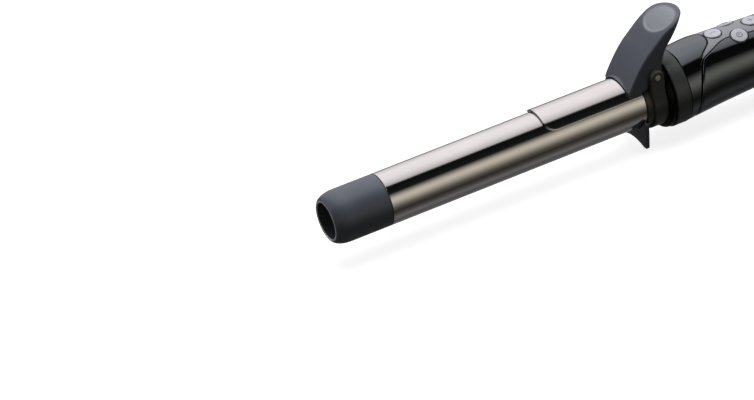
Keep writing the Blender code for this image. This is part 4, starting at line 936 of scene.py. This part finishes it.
flange = eased([(FLANGE_FRONT_X, RING_BORE, 0.1 * MM), (FLANGE_REAR_X, RING_BORE, 0.1 * MM),
                (FLANGE_REAR_X, FLANGE_RADIUS, 1.2 * MM), (FLANGE_FRONT_X, FLANGE_RADIUS, 1.9 * MM)])
fit(object_from("flange", turned(flange, 192)), DEEP_BLACK, "gloss_black_plastic", "handle",
    "flange_ring")
collar = eased([(COLLAR_FRONT_X, RING_BORE, 0.1 * MM), (COLLAR_REAR_X, RING_BORE, 0.1 * MM),
                (COLLAR_REAR_X, COLLAR_RADIUS, 0.45 * MM),
                (COLLAR_FRONT_X, COLLAR_RADIUS, 0.6 * MM)])
fit(object_from("collar", turned(collar, 192)), SATIN_BLACK, "satin_black_plastic", "handle",
    "collar_ring")

# ---------------------------------------------------------------------------------------------
# Nose of the handle: a gloss black moulding that the barrel's root is seated in. Its rear edge
# slants from far back on top to well forward below, and the handle meets it there across a
# narrow dark groove.

NOSE_FRONT_X = 21.1 * MM
NOSE_LENGTH_ABOVE = 18.8 * MM
HANDLE_REAR_X = 160.1 * MM
HANDLE_WALL = 2.0 * MM
SEAM_WIDTH = 0.75 * MM
SEAM_ROUNDING = 0.3 * MM
AROUND_STEPS = 192

HANDLE_LINE = smooth([(21.1 * MM, 17.6 * MM, 0), (33.6 * MM, 17.6 * MM, 1.2 * MM),
                      (44.0 * MM, 17.0 * MM, 1.35 * MM), (69.8 * MM, 15.8 * MM, 1.5 * MM),
                      (98.9 * MM, 15.0 * MM, 1.5 * MM), (135.1 * MM, 15.6 * MM, 1.5 * MM),
                      (160.1 * MM, 15.2 * MM, 1.5 * MM)], 60)


def handle_at(x):
    """Radius and height of centre of the handle's outside at this x."""
    low, high = 0, len(HANDLE_LINE) - 1
    while high - low > 1:
        middle = (low + high) // 2
        if HANDLE_LINE[middle].x <= x:
            low = middle
        else:
            high = middle
    first, second = HANDLE_LINE[low], HANDLE_LINE[high]
    share = min(1, max(0, (x - first.x) / (second.x - first.x)))
    return first.y + (second.y - first.y) * share, first.z + (second.z - first.z) * share


def handle_point(x, angle, depth):
    """A point this deep in the handle's wall, at an angle from the top towards +Y."""
    radius, height = handle_at(x)
    return Vector((x, (radius - depth) * sin(angle), height + (radius - depth) * cos(angle)))


seam_radius, seam_height = handle_at(NOSE_FRONT_X + NOSE_LENGTH_ABOVE)
SEAM_LINE = smooth([(NOSE_FRONT_X + 3.2 * MM, -19.6 * MM), (NOSE_FRONT_X + 5.3 * MM, seam_height),
                    (NOSE_FRONT_X + 0.55 * NOSE_LENGTH_ABOVE, seam_height + 0.76 * seam_radius),
                    (NOSE_FRONT_X + NOSE_LENGTH_ABOVE, seam_height + seam_radius),
                    (NOSE_FRONT_X + NOSE_LENGTH_ABOVE + 1 * MM, seam_height + seam_radius + 4 * MM)],
                   40)


def seam_at(angle):
    """X of the slanting seam at an angle from the top."""
    x = NOSE_FRONT_X + 0.5 * NOSE_LENGTH_ABOVE
    for _ in range(8):
        height = handle_point(x, angle, 0).z
        for first, second in zip(SEAM_LINE, SEAM_LINE[1:]):
            if first.y <= height <= second.y:
                x = first.x + (second.x - first.x) * (height - first.y) / (second.y - first.y)
                break
    return x


def rounded_drop(inside, rounding):
    """How far a surface lies below its full height, this far inside a rounded edge."""
    short = max(0, rounding - max(0, inside))
    return rounding - sqrt(rounding**2 - short**2)


angles = [2 * pi * step / AROUND_STEPS for step in range(AROUND_STEPS)]
seams = [seam_at(angle) for angle in angles]
edge_steps = [0, 0.12, 0.3, 0.6, 1, 1.6]
rings = []
for share in edge_steps:
    drop = rounded_drop(share * SEAM_ROUNDING, SEAM_ROUNDING)
    rings.append([handle_point(NOSE_FRONT_X + share * SEAM_ROUNDING, a, drop) for a in angles])
for step in range(1, 24):
    rings.append([handle_point(NOSE_FRONT_X + 0.5 * MM
                               + (seam - NOSE_FRONT_X - 1.2 * MM) * step / 24, a, 0)
                  for a, seam in zip(angles, seams)])
for share in reversed(edge_steps):
    drop = rounded_drop(share * SEAM_ROUNDING, SEAM_ROUNDING)
    rings.append([handle_point(seam - SEAM_WIDTH / 2 - share * SEAM_ROUNDING, a, drop)
                  for a, seam in zip(angles, seams)])
for step in range(6, -1, -1):
    rings.append([handle_point(NOSE_FRONT_X + (seam - SEAM_WIDTH / 2 - NOSE_FRONT_X) * step / 6,
                               a, HANDLE_WALL) for a, seam in zip(angles, seams)])
fit(object_from("nose", skin(rings)), GLOSS_BLACK, "gloss_black_plastic", "handle", "nose_cuff",
    sharp=50)

# ---------------------------------------------------------------------------------------------
# Handle: one moulded tube in the same gloss black, waisted for the hand. Its front edge follows
# the nose's slanting seam and rolls down into it, its top is let open for the control panel,
# and the two side buttons bite half-round notches into it.

PANEL_REAR_X = 108 * MM
PANEL_HALF_WIDTH = 7.2 * MM
PANEL_GAP = 0.3 * MM
EDGE_ROUNDING = 0.35 * MM
FRONT_ROLL = 1.3 * MM
BUTTON_RADIUS = 4.0 * MM
BUTTON_GAP = 0.5 * MM
DIAMOND_X = 54.8 * MM
DIAMOND_REACH = 10.2 * MM
DIAMOND_ANGLE = radians(24)
PANEL_EDGE = smooth([(31.4 * MM, 11.6 * MM), (37.9 * MM, 9.3 * MM), (44.9 * MM, 6.4 * MM),
                     (50.9 * MM, 5.7 * MM), (60.9 * MM, 6.8 * MM), (73.9 * MM, 7.2 * MM),
                     (PANEL_REAR_X - PANEL_HALF_WIDTH, PANEL_HALF_WIDTH)], 12)
ARC_X = PANEL_REAR_X - PANEL_HALF_WIDTH


def panel_half(x, grow):
    """Half the width of the control panel at this x, or of its opening this much larger."""
    if x > ARC_X:
        return sqrt(max((PANEL_HALF_WIDTH + grow) ** 2 - (x - ARC_X) ** 2, 0))
    for first, second in zip(PANEL_EDGE, PANEL_EDGE[1:]):
        if x <= second.x:
            share = (x - first.x) / (second.x - first.x)
            return first.y + (second.y - first.y) * share + grow
    return PANEL_HALF_WIDTH + grow


def edge_angle(x, grow):
    return asin(panel_half(x, grow) / handle_at(x)[0])


meet_x = 31.4 * MM
for _ in range(12):
    meet_x = seam_at(edge_angle(meet_x, PANEL_GAP)) + SEAM_WIDTH / 2
meet_angle = edge_angle(meet_x, PANEL_GAP)
opening_rear = PANEL_REAR_X + PANEL_GAP
across_steps = 150


def around(x, first_angle):
    """Angles of the body's columns at this x, from one edge of the opening round to the other."""
    radius = handle_at(x)[0]
    edge = [first_angle + share * EDGE_ROUNDING / radius for share in edge_steps]
    start = edge[-1]
    inner = [start + (2 * pi - 2 * start) * step / across_steps for step in range(1, across_steps)]
    return edge + inner + [2 * pi - angle for angle in reversed(edge)]


def body_row(places, drops):
    outer = [handle_point(x, a, drop) for (x, a), drop in zip(places, drops)]
    inner = [handle_point(x, a, HANDLE_WALL) for x, a in places]
    return outer, inner


rows = []
front_angles = around(meet_x, meet_angle)
front_seams = [seam_at(angle) + SEAM_WIDTH / 2 for angle in front_angles]
roll_steps = [step * FRONT_ROLL for step in (0, 0.05, 0.14, 0.27, 0.44, 0.66, 1)]
for share in [*roll_steps, 0.3, 0.5, 0.75]:
    places, drops = [], []
    for angle, seam in zip(front_angles, front_seams):
        length = max(meet_x - seam, 0)
        past = min(share, length) if share in roll_steps else max(FRONT_ROLL, length * share)
        past = min(past, length)
        places.append((seam + past, angle))
        drops.append(rounded_drop(past, FRONT_ROLL))
    rows.append(body_row(places, drops))
stations = [meet_x + FRONT_ROLL * share for share in (0, 0.25, 0.5, 0.75)]
stations += [meet_x + FRONT_ROLL + (ARC_X - meet_x - FRONT_ROLL) * step / 64 for step in range(64)]
stations += [ARC_X + (opening_rear - ARC_X) * sin(pi / 2 * step / 24) for step in range(25)]
open_rows = len(rows) + len(stations)
stations += [opening_rear + (HANDLE_REAR_X - 0.8 * MM - opening_rear) * step / 30
             for step in range(1, 31)]
stations += [HANDLE_REAR_X - share * EDGE_ROUNDING for share in reversed(edge_steps)]
for x in stations:
    first_angle = edge_angle(x, PANEL_GAP) if x < opening_rear else 0
    places, drops = [], []
    for angle in around(x, first_angle):
        radius = handle_at(x)[0]
        inside = HANDLE_REAR_X - x
        side = min(angle, 2 * pi - angle)
        if x < ARC_X:
            inside = min(inside, radius * (side - first_angle))
        elif side < pi / 2:
            past = hypot(x - ARC_X, radius * sin(side)) - PANEL_HALF_WIDTH - PANEL_GAP
            inside = min(inside, past)
        drop = rounded_drop(inside, EDGE_ROUNDING)
        if x < meet_x + FRONT_ROLL:
            drop = max(drop, rounded_drop(x - seam_at(angle) - SEAM_WIDTH / 2, FRONT_ROLL))
        places.append((x, angle))
        drops.append(drop)
    rows.append(body_row(places, drops))

bm = bmesh.new()
outer = [[bm.verts.new(point) for point in row[0]] for row in rows]
inner = [[bm.verts.new(point) for point in row[1]] for row in rows]
for grid in (outer, inner):
    for first, second in zip(grid, grid[1:]):
        for step in range(len(first) - 1):
            bm.faces.new((first[step], first[step + 1], second[step + 1], second[step]))
for row in (0, -1):
    for step in range(len(outer[0]) - 1):
        bm.faces.new((outer[row][step], outer[row][step + 1], inner[row][step + 1],
                      inner[row][step]))
for column in (0, -1):
    for row in range(open_rows - 1):
        bm.faces.new((outer[row][column], outer[row + 1][column], inner[row + 1][column],
                      inner[row][column]))
body = object_from("body", bm)


def button_places():
    """(name, x, angle about the handle) of the four buttons."""
    return (("front", DIAMOND_X - DIAMOND_REACH, 0), ("left", DIAMOND_X, -DIAMOND_ANGLE),
            ("right", DIAMOND_X, DIAMOND_ANGLE), ("rear", DIAMOND_X + DIAMOND_REACH, 0))


def facing_out(x, angle):
    """Takes a shape turned about X and stands it on the handle, pointing out."""
    radius, height = handle_at(x)
    place = handle_point(x, angle, 0)
    turn = Matrix.Rotation(-angle, 4, "X") @ Matrix.Rotation(-pi / 2, 4, "Y")
    return Matrix.Translation(place) @ turn


def button_hole(name, x, angle):
    hole = BUTTON_RADIUS + BUTTON_GAP
    profile = [(-4.5 * MM, 0), (-4.5 * MM, hole), (-0.3 * MM, hole), (0.2 * MM, hole + 0.35 * MM),
               (3 * MM, hole + 0.35 * MM), (3 * MM, 0)]
    return object_from(f"hole_{name}", moved(turned(profile, 72, looped=False), facing_out(x, angle)))


worked(body, "DIFFERENCE", *[button_hole(*place) for place in button_places() if place[2]])
fit(body, GLOSS_BLACK, "gloss_black_plastic", "handle", "handle_body", sharp=40)

# ---------------------------------------------------------------------------------------------
# Control panel: a thin plate sprayed in satin grey and snapped into the top of the handle. Two
# tails follow the seam down the sides. It is pierced for four buttons and for the display.

PANEL_THICKNESS = 1.5 * MM
DISPLAY_X = 88 * MM
DISPLAY_LENGTH = 20 * MM
DISPLAY_WIDTH = 10 * MM
DISPLAY_CORNER = 1.4 * MM
PANEL_COLUMNS = 64
PANEL_ROWS = 120

PANEL_GREY = moulded("panel_grey", (0.108, 0.113, 0.126), (0.126, 0.132, 0.146), 0.36, 0.06,
                     4200, 0.004 * MM)

rings = []
shares = [-cos(pi * step / PANEL_COLUMNS) for step in range(PANEL_COLUMNS + 1)]
starts = []
for share in shares:
    x = 33 * MM
    for _ in range(16):
        x = seam_at(asin(share * panel_half(x, 0) / handle_at(x)[0])) + SEAM_WIDTH / 2
    starts.append(x)
for row in range(PANEL_ROWS + 1):
    along = (1 - cos(pi * row / PANEL_ROWS)) / 2
    outside, inside_wall = [], []
    for share, start in zip(shares, starts):
        x = start + (PANEL_REAR_X - start) * along
        half = panel_half(x, 0)
        y = share * half
        angle = asin(y / handle_at(x)[0])
        inside = min(x - start, half - abs(y))
        if x > ARC_X:
            inside = PANEL_HALF_WIDTH - hypot(x - ARC_X, y)
        outside.append(handle_point(x, angle, rounded_drop(inside, EDGE_ROUNDING)))
        inside_wall.append(handle_point(x, angle, PANEL_THICKNESS))
    rings.append(outside + inside_wall[::-1])
panel = object_from("panel", strip_capped(rings))


def rounded_window(grow):
    """The display's outline from above, this much larger all round."""
    half_length = DISPLAY_LENGTH / 2 + grow
    half_width = DISPLAY_WIDTH / 2 + grow
    corner = DISPLAY_CORNER + grow
    outline = []
    for turn, (side_x, side_y) in enumerate(((1, 1), (-1, 1), (-1, -1), (1, -1))):
        centre = (DISPLAY_X + side_x * (half_length - corner), side_y * (half_width - corner))
        outline += arc(centre, corner, 90 * turn, 90 * turn + 90, 8)
    return outline


window_tool = object_from("window", prism(rounded_window(0.2 * MM), "Z", 5 * MM, 30 * MM))
worked(panel, "DIFFERENCE", window_tool, *[button_hole(*place) for place in button_places()])
fit(panel, PANEL_GREY, "panel_grey", "handle", "control_panel", sharp=40)

# ---------------------------------------------------------------------------------------------
# Display: a smoked acrylic window set a hair below the panel, dark while the iron is off, over
# the display module that shows the heat.

LENS_SET_BACK = 0.12 * MM

LENS = moulded("smoked_acrylic", (0.008, 0.009, 0.011), (0.012, 0.013, 0.016), 0.07, 0.04,
               900, 0.0003 * MM)
LENS.node_tree.nodes["Principled BSDF"].inputs["Coat Weight"].default_value = 0.5

rings = []
for step in range(25):
    x = DISPLAY_X + (DISPLAY_LENGTH / 2 + 1 * MM) * (step / 12 - 1)
    lean = [asin((DISPLAY_WIDTH / 2 + 1 * MM) / handle_at(x)[0]) * (across / 12 - 1)
            for across in range(25)]
    rings.append([handle_point(x, a, LENS_SET_BACK) for a in lean]
                 + [handle_point(x, a, PANEL_THICKNESS) for a in reversed(lean)])
lens = object_from("lens", strip_capped(rings))
worked(lens, "INTERSECT", object_from("window", prism(rounded_window(0), "Z", 5 * MM, 30 * MM)))
fit(lens, LENS, "tinted_lens", "handle", "display_lens", sharp=40)

# ---------------------------------------------------------------------------------------------
# Buttons: four round keys moulded in silver-grey, domed on top, each on a stem over its own
# switch. Their signs are plain: less, more, a timer and on or off. Each is a raised line.

BUTTON_PROUD = 0.5 * MM
BUTTON_DOME = 0.3 * MM
BUTTON_ROUNDING = 0.5 * MM
BUTTON_SKIRT = 1.7 * MM
STEM_RADIUS = 1.2 * MM
SIGN_LINE = 0.17 * MM

SILVER = moulded("silver_key", (0.21, 0.219, 0.244), (0.252, 0.262, 0.288), 0.36, 0.06,
                 3600, 0.005 * MM)
SIGN = moulded("printed_sign", (0.03, 0.03, 0.035), (0.045, 0.045, 0.05), 0.5, 0.06,
               3600, 0.003 * MM)


def ring_line(radius, start, end):
    return arc((0, 0), radius, start, end, 28)


SIGNS = {
    "front": [[(-1.5 * MM, 0), (1.5 * MM, 0)]],
    "left": [ring_line(1.35 * MM, 0, 360), [(0, 0.85 * MM), (0, 0), (0.6 * MM, 0)]],
    "right": [ring_line(1.35 * MM, 125, 415), [(0, 0.5 * MM), (0, 1.7 * MM)]],
    "rear": [[(-1.5 * MM, 0), (1.5 * MM, 0)], [(0, -1.5 * MM), (0, 1.5 * MM)]],
}


def dome_height(away):
    return BUTTON_PROUD - BUTTON_DOME * (away / BUTTON_RADIUS) ** 2


for name, x, angle in button_places():
    stem_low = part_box(f"button_{name}")[0]
    stem_end = -(handle_point(x, angle, 0).z + HOME.z - stem_low.z) / cos(angle) + 0.5 * MM
    dome = [(dome_height(BUTTON_RADIUS * share), BUTTON_RADIUS * share)
            for share in (0, 0.15, 0.3, 0.45, 0.6, 0.7, 0.78)]
    rim = eased([(dome_height(0.8 * BUTTON_RADIUS), 0.8 * BUTTON_RADIUS, 0),
                 (dome_height(BUTTON_RADIUS), BUTTON_RADIUS, BUTTON_ROUNDING),
                 (-BUTTON_SKIRT, BUTTON_RADIUS, 0.1 * MM), (-BUTTON_SKIRT, STEM_RADIUS, 0),
                 (stem_end, STEM_RADIUS, 0.1 * MM), (stem_end, 0, 0)], closed=False)
    key = object_from(f"key_{name}", moved(turned(dome + rim[1:], 72, looped=False),
                                           facing_out(x, angle)))
    fit(key, SILVER, "button_silver", f"{name}_button", f"button_{name}")
    routes = [[Vector((dome_height(hypot(u, v)) - 0.06 * MM, v, u)) for u, v in line]
              for line in SIGNS[name]]
    sign = swept(f"sign_{name}", routes, SIGN_LINE, 8, True, SIGN)
    sign.data.transform(facing_out(x, angle))
    fit(sign, SIGN, "button_silver", f"{name}_button", sharp=60)

# ---------------------------------------------------------------------------------------------
# Chassis and electronics: a half-round resin tray screwed under a glass-fibre board, with a
# switch below each key, the triac and capacitor that feed the heater, and the display module.

BOARD_GREEN = moulded("circuit_board", (0.02, 0.12, 0.05), (0.03, 0.17, 0.075), 0.42, 0.1,
                      1500, 0.01 * MM)
finish_nodes(BOARD_GREEN, "control_board", "display_module")
finish_nodes(HEAT_RESIN, "chassis_tray", "swivel_retainer")
finish_nodes(SATIN_BLACK, "tact_switch_front", "tact_switch_left", "tact_switch_right",
             "tact_switch_rear", "triac")
finish_nodes(EXTRUDED, "capacitor")
finish_nodes(STEEL, "board_screw_front", "board_screw_rear")

# ---------------------------------------------------------------------------------------------
# End cap and cord inlet: a gloss black plug closes the handle and bears a satin black inlet
# that turns freely in it, ribbed for grip, with two brass slip rings and a brush on each.

CAP_FRONT_X = 160.4 * MM
CAP_REAR_X = 167.9 * MM
CAP_RADIUS = 15.2 * MM
CAP_ROUNDING = 3.2 * MM
CAP_WALL = 2.4 * MM
CAP_LIP = 12.9 * MM
CAP_LIP_LENGTH = 4 * MM
CAP_LIP_WALL = 1.6 * MM
CAP_HOLE = 6.25 * MM
AXIS_RISE = 1.5 * MM
GLAND_REAR_X = 186.9 * MM
GLAND_END_RADIUS = 5.0 * MM
GLAND_NECK = 6.0 * MM
GLAND_HUB = 5 * MM
GLAND_FLANGE = 8.6 * MM
CORD_HOLE = 3.4 * MM
RIB_COUNT = 5
RIB_SPACING = 2.1 * MM
RIB_DEPTH = 0.45 * MM

cap = eased([
    (CAP_FRONT_X - CAP_LIP_LENGTH, CAP_LIP, 0.3 * MM),
    (CAP_FRONT_X, CAP_LIP, 0.1 * MM),
    (CAP_FRONT_X, CAP_RADIUS, 0.3 * MM),
    (CAP_REAR_X, CAP_RADIUS, CAP_ROUNDING),
    (CAP_REAR_X, CAP_HOLE, 0.4 * MM),
    (CAP_REAR_X - CAP_WALL, CAP_HOLE, 0.1 * MM),
    (CAP_REAR_X - CAP_WALL, CAP_LIP - CAP_LIP_WALL, 0.3 * MM),
    (CAP_FRONT_X - CAP_LIP_LENGTH, CAP_LIP - CAP_LIP_WALL, 0.1 * MM),
], steps=10)
fit(object_from("cap", turned(cap, 192, height=AXIS_RISE)), GLOSS_BLACK, "gloss_black_plastic",
    "handle", "end_cap")

BRASS = polished_metal("turned_brass", (0.66, 0.53, 0.27), (0.76, 0.64, 0.38),
                       0.26, 0.1, 0.0012 * MM)
flange_rear = CAP_REAR_X - CAP_WALL - 0.25 * MM
flange_front = flange_rear - 2.2 * MM
hub_front = flange_front - 12 * MM
neck_rear = CAP_REAR_X + 1 * MM
gland = eased([
    (hub_front, GLAND_HUB, 0.2 * MM),
    (flange_front, GLAND_HUB, 0.1 * MM),
    (flange_front, GLAND_FLANGE, 0.2 * MM),
    (flange_rear, GLAND_FLANGE, 0.2 * MM),
    (flange_rear, GLAND_NECK, 0.1 * MM),
    (neck_rear, GLAND_NECK, 0.1 * MM),
    (neck_rear, GLAND_NECK + 1 * MM, 0.4 * MM),
    (neck_rear + 3 * MM, GLAND_NECK + 1 * MM, 0.8 * MM),
    (neck_rear + 5 * MM, GLAND_NECK, 1.5 * MM),
    (GLAND_REAR_X, GLAND_END_RADIUS, 0.7 * MM),
    (GLAND_REAR_X, CORD_HOLE, 0.5 * MM),
    (hub_front, CORD_HOLE, 0.2 * MM),
])
fit(object_from("gland", turned(gland, 128, height=AXIS_RISE)), SATIN_BLACK,
    "satin_black_plastic", "cord_swivel", "swivel_gland")


def rib_tree():
    """Rings set out evenly along X, each a little smaller than the one in front."""
    tree = bpy.data.node_groups.new("inlet_ribs", "GeometryNodeTree")
    given, result = sockets(
        tree,
        [("Start", "Geometry", None), ("Count", "Int", 5), ("Spacing", "Float", 2 * MM),
         ("Ring Radius", "Float", 6 * MM), ("Rib Radius", "Float", 0.5 * MM),
         ("Shrink", "Float", 0.02), ("Finish", "Material", None)],
        [("Ribs", "Geometry")],
    )
    ring = tree.nodes.new("GeometryNodeCurvePrimitiveCircle")
    ring.inputs["Resolution"].default_value = 96
    section = tree.nodes.new("GeometryNodeCurvePrimitiveCircle")
    section.inputs["Resolution"].default_value = 12
    sweep = tree.nodes.new("GeometryNodeCurveToMesh")
    line = tree.nodes.new("GeometryNodeMeshLine")
    offset = tree.nodes.new("ShaderNodeCombineXYZ")
    place = tree.nodes.new("GeometryNodeInstanceOnPoints")
    place.inputs["Rotation"].default_value = (0, pi / 2, 0)
    index = tree.nodes.new("GeometryNodeInputIndex")
    scale = tree.nodes.new("ShaderNodeMath")
    scale.operation = "MULTIPLY_ADD"
    scale.inputs[2].default_value = 1.0
    less = tree.nodes.new("ShaderNodeMath")
    less.operation = "MULTIPLY"
    less.inputs[1].default_value = -1.0
    real = tree.nodes.new("GeometryNodeRealizeInstances")
    coat = tree.nodes.new("GeometryNodeSetMaterial")
    join = tree.links.new
    join(given["Ring Radius"], ring.inputs["Radius"])
    join(given["Rib Radius"], section.inputs["Radius"])
    join(ring.outputs["Curve"], sweep.inputs["Curve"])
    join(section.outputs["Curve"], sweep.inputs["Profile Curve"])
    join(given["Count"], line.inputs["Count"])
    join(given["Spacing"], offset.inputs["X"])
    join(offset.outputs["Vector"], line.inputs["Offset"])
    join(line.outputs["Mesh"], place.inputs["Points"])
    join(sweep.outputs["Mesh"], place.inputs["Instance"])
    join(given["Shrink"], less.inputs[0])
    join(index.outputs["Index"], scale.inputs[0])
    join(less.outputs["Value"], scale.inputs[1])
    join(scale.outputs["Value"], place.inputs["Scale"])
    join(place.outputs["Instances"], real.inputs["Geometry"])
    join(real.outputs["Geometry"], coat.inputs["Geometry"])
    join(given["Finish"], coat.inputs["Material"])
    join(coat.outputs["Geometry"], result["Ribs"])
    return tree


ribs = object_of("inlet_ribs", bpy.data.meshes.new("inlet_ribs"))
grown(ribs, rib_tree(), Count=RIB_COUNT, Spacing=RIB_SPACING, Ring_Radius=GLAND_NECK - 0.25 * MM,
      Rib_Radius=RIB_DEPTH, Shrink=0.028, Finish=SATIN_BLACK)
ribs.data.transform(Matrix.Translation((neck_rear + 6.4 * MM, 0, AXIS_RISE)))
fit(ribs, SATIN_BLACK, "satin_black_plastic", "cord_swivel", sharp=60)
finish_nodes(BRASS, "slip_ring_live", "slip_ring_neutral", "brush_live", "brush_neutral")

# ---------------------------------------------------------------------------------------------
# Studio: the iron stands on a plain pale floor that is lit from within. A broad white wall of
# light stands behind and above it, a dim warm one in front, with darkness between, so the metal
# shows one bright band, one black one and one warm one. It is dimmer off to the tip's side and
# past the handle's end, and brightest straight ahead of the tip.

# Each row of STUDIO is degrees round the iron, light and warmth; each of ALONG is a place from
# the tip's end (-1) to the handle's (1) and the share of the light there.
STUDIO = [(-150, 0.26, 0), (-110, 0.11, 0), (-92, 0.09, 0), (-72, 0.15, 0), (-52, 0.06, 0.5),
          (-38, 0.03, 1), (-22, 0.1, 1), (-10, 0.26, 1), (0, 0.46, 1), (11, 0.62, 1),
          (22, 0.5, 1), (32, 0.2, 1), (41, 0.01, 0), (72, 0.004, 0), (78, 0.55, 0), (93, 0.8, 0),
          (108, 0.98, 0), (140, 1.04, 0), (162, 0.86, 0), (180, 0.6, 0)]
COOL, WARM = (1.0, 0.965, 0.985), (1.0, 0.93, 0.79)
ALONG = [(-1.0, 1.2), (-0.7, 0.9), (-0.5, 0.4), (-0.25, 0.4), (0.12, 1.0), (0.6, 1.0),
         (0.85, 0.5), (1.0, 0.5)]
FLOOR_SIDE = 3.0
FLOOR_GLOW = 0.84
FLOOR_DEPTH = 0.0015
FLOOR_GREY = (0.3, 0.3, 0.302, 1)
BACKDROP = (0.93, 0.93, 0.94, 1)


def ramp_through(tree, stops):
    """A colour ramp through two or more (place, colour) stops, in order."""
    ramp = tree.nodes.new("ShaderNodeValToRGB")
    elements = ramp.color_ramp.elements
    for number, (place, colour) in enumerate(stops):
        stop = elements[number] if number < 2 else elements.new(place)
        stop.position = place
        stop.color = (*colour, 1)
    return ramp


world = bpy.data.worlds.new("studio")
bpy.context.scene.world = world
world.use_nodes = True
tree = world.node_tree
join = tree.links.new
sky = tree.nodes["Background"]
direction = tree.nodes.new("ShaderNodeTexCoord")
parts = tree.nodes.new("ShaderNodeSeparateXYZ")
front = tree.nodes.new("ShaderNodeMath")
front.operation = "MULTIPLY"
front.inputs[1].default_value = -1.0
turn = tree.nodes.new("ShaderNodeMath")
turn.operation = "ARCTAN2"
share = tree.nodes.new("ShaderNodeMath")
share.operation = "MULTIPLY_ADD"
share.inputs[1].default_value = 1 / (2 * pi)
share.inputs[2].default_value = 0.5
ramp = ramp_through(tree, [
    (angle / 360 + 0.5, [light * (c + (w - c) * warmth) for c, w in zip(COOL, WARM)])
    for angle, light, warmth in STUDIO])
join(direction.outputs["Generated"], parts.inputs["Vector"])
join(parts.outputs["Y"], front.inputs[0])
join(parts.outputs["Z"], turn.inputs[0])
join(front.outputs["Value"], turn.inputs[1])
join(turn.outputs["Value"], share.inputs[0])
join(share.outputs["Value"], ramp.inputs["Fac"])
ends = tree.nodes.new("ShaderNodeMath")
ends.operation = "MULTIPLY_ADD"
ends.inputs[1].default_value = 0.5
ends.inputs[2].default_value = 0.5
dimmer = ramp_through(tree, [((along + 1) / 2, (light, light, light)) for along, light in ALONG])
join(parts.outputs["X"], ends.inputs[0])
join(ends.outputs["Value"], dimmer.inputs["Fac"])
lit = tree.nodes.new("ShaderNodeMix")
lit.data_type = "RGBA"
lit.blend_type = "MULTIPLY"
lit.inputs["Factor"].default_value = 1.0
join(ramp.outputs["Color"], lit.inputs["A"])
join(dimmer.outputs["Color"], lit.inputs["B"])
seen = tree.nodes.new("ShaderNodeLightPath")
plain = tree.nodes.new("ShaderNodeMix")
plain.data_type = "RGBA"
plain.inputs["B"].default_value = BACKDROP
join(seen.outputs["Is Camera Ray"], plain.inputs["Factor"])
join(lit.outputs["Result"], plain.inputs["A"])
join(plain.outputs["Result"], sky.inputs["Color"])
sky.inputs["Strength"].default_value = 1.0

floor_mesh = bpy.data.meshes.new("floor")
half = FLOOR_SIDE / 2
floor_mesh.from_pydata([(-half, -half, -FLOOR_DEPTH), (half, -half, -FLOOR_DEPTH),
                        (half, half, -FLOOR_DEPTH), (-half, half, -FLOOR_DEPTH)], [], [(0, 1, 2, 3)])
floor = object_of("floor", floor_mesh)
paper, paper_shader, _ = shader_of("floor_paper")
paper_shader.inputs["Base Color"].default_value = FLOOR_GREY
paper_shader.inputs["Roughness"].default_value = 0.9
paper_shader.inputs["Specular IOR Level"].default_value = 0.1
paper_shader.inputs["Emission Color"].default_value = (1, 1, 1, 1)
paper_shader.inputs["Emission Strength"].default_value = FLOOR_GLOW
floor_mesh.materials.append(paper)
floor.visible_glossy = False
floor.visible_diffuse = False


def lamp(name, place, aim, width, length, power, in_reflections):
    light = bpy.data.lights.new(name, "AREA")
    light.shape = "RECTANGLE"
    light.size = width
    light.size_y = length
    light.energy = power
    made = object_of(name, light)
    made.location = place
    made.rotation_euler = (Vector(place) - Vector(aim)).to_track_quat("Z", "Y").to_euler()
    made.visible_camera = False
    made.visible_glossy = in_reflections
    return made


lamp("overhead", (0.35, 0.3, 1.0), (0, 0, 0), 1.4, 1.4, 34, False)

LOOK = Vector((-0.341, -0.787, 0.514)).normalized()  # from the iron towards the camera
RIGHT = Vector((0.875, -0.4659, -0.1329))
AIM = HOME + Vector((-118.7, 36.4, -23.2)) * MM
CAMERA_AWAY = 2.0
VIEW_WIDTH = 345.9 * MM

camera = bpy.data.cameras.new("camera")
camera.sensor_width = 36
camera.lens = camera.sensor_width * CAMERA_AWAY / VIEW_WIDTH
camera_object = object_of("camera", camera)
across = (RIGHT - LOOK * RIGHT.dot(LOOK)).normalized()
upright = LOOK.cross(across)
facing = Matrix((across, upright, LOOK)).transposed().to_4x4()
camera_object.matrix_world = Matrix.Translation(AIM + LOOK * CAMERA_AWAY) @ facing
bpy.context.scene.camera = camera_object
bpy.context.scene.view_settings.view_transform = "Standard"
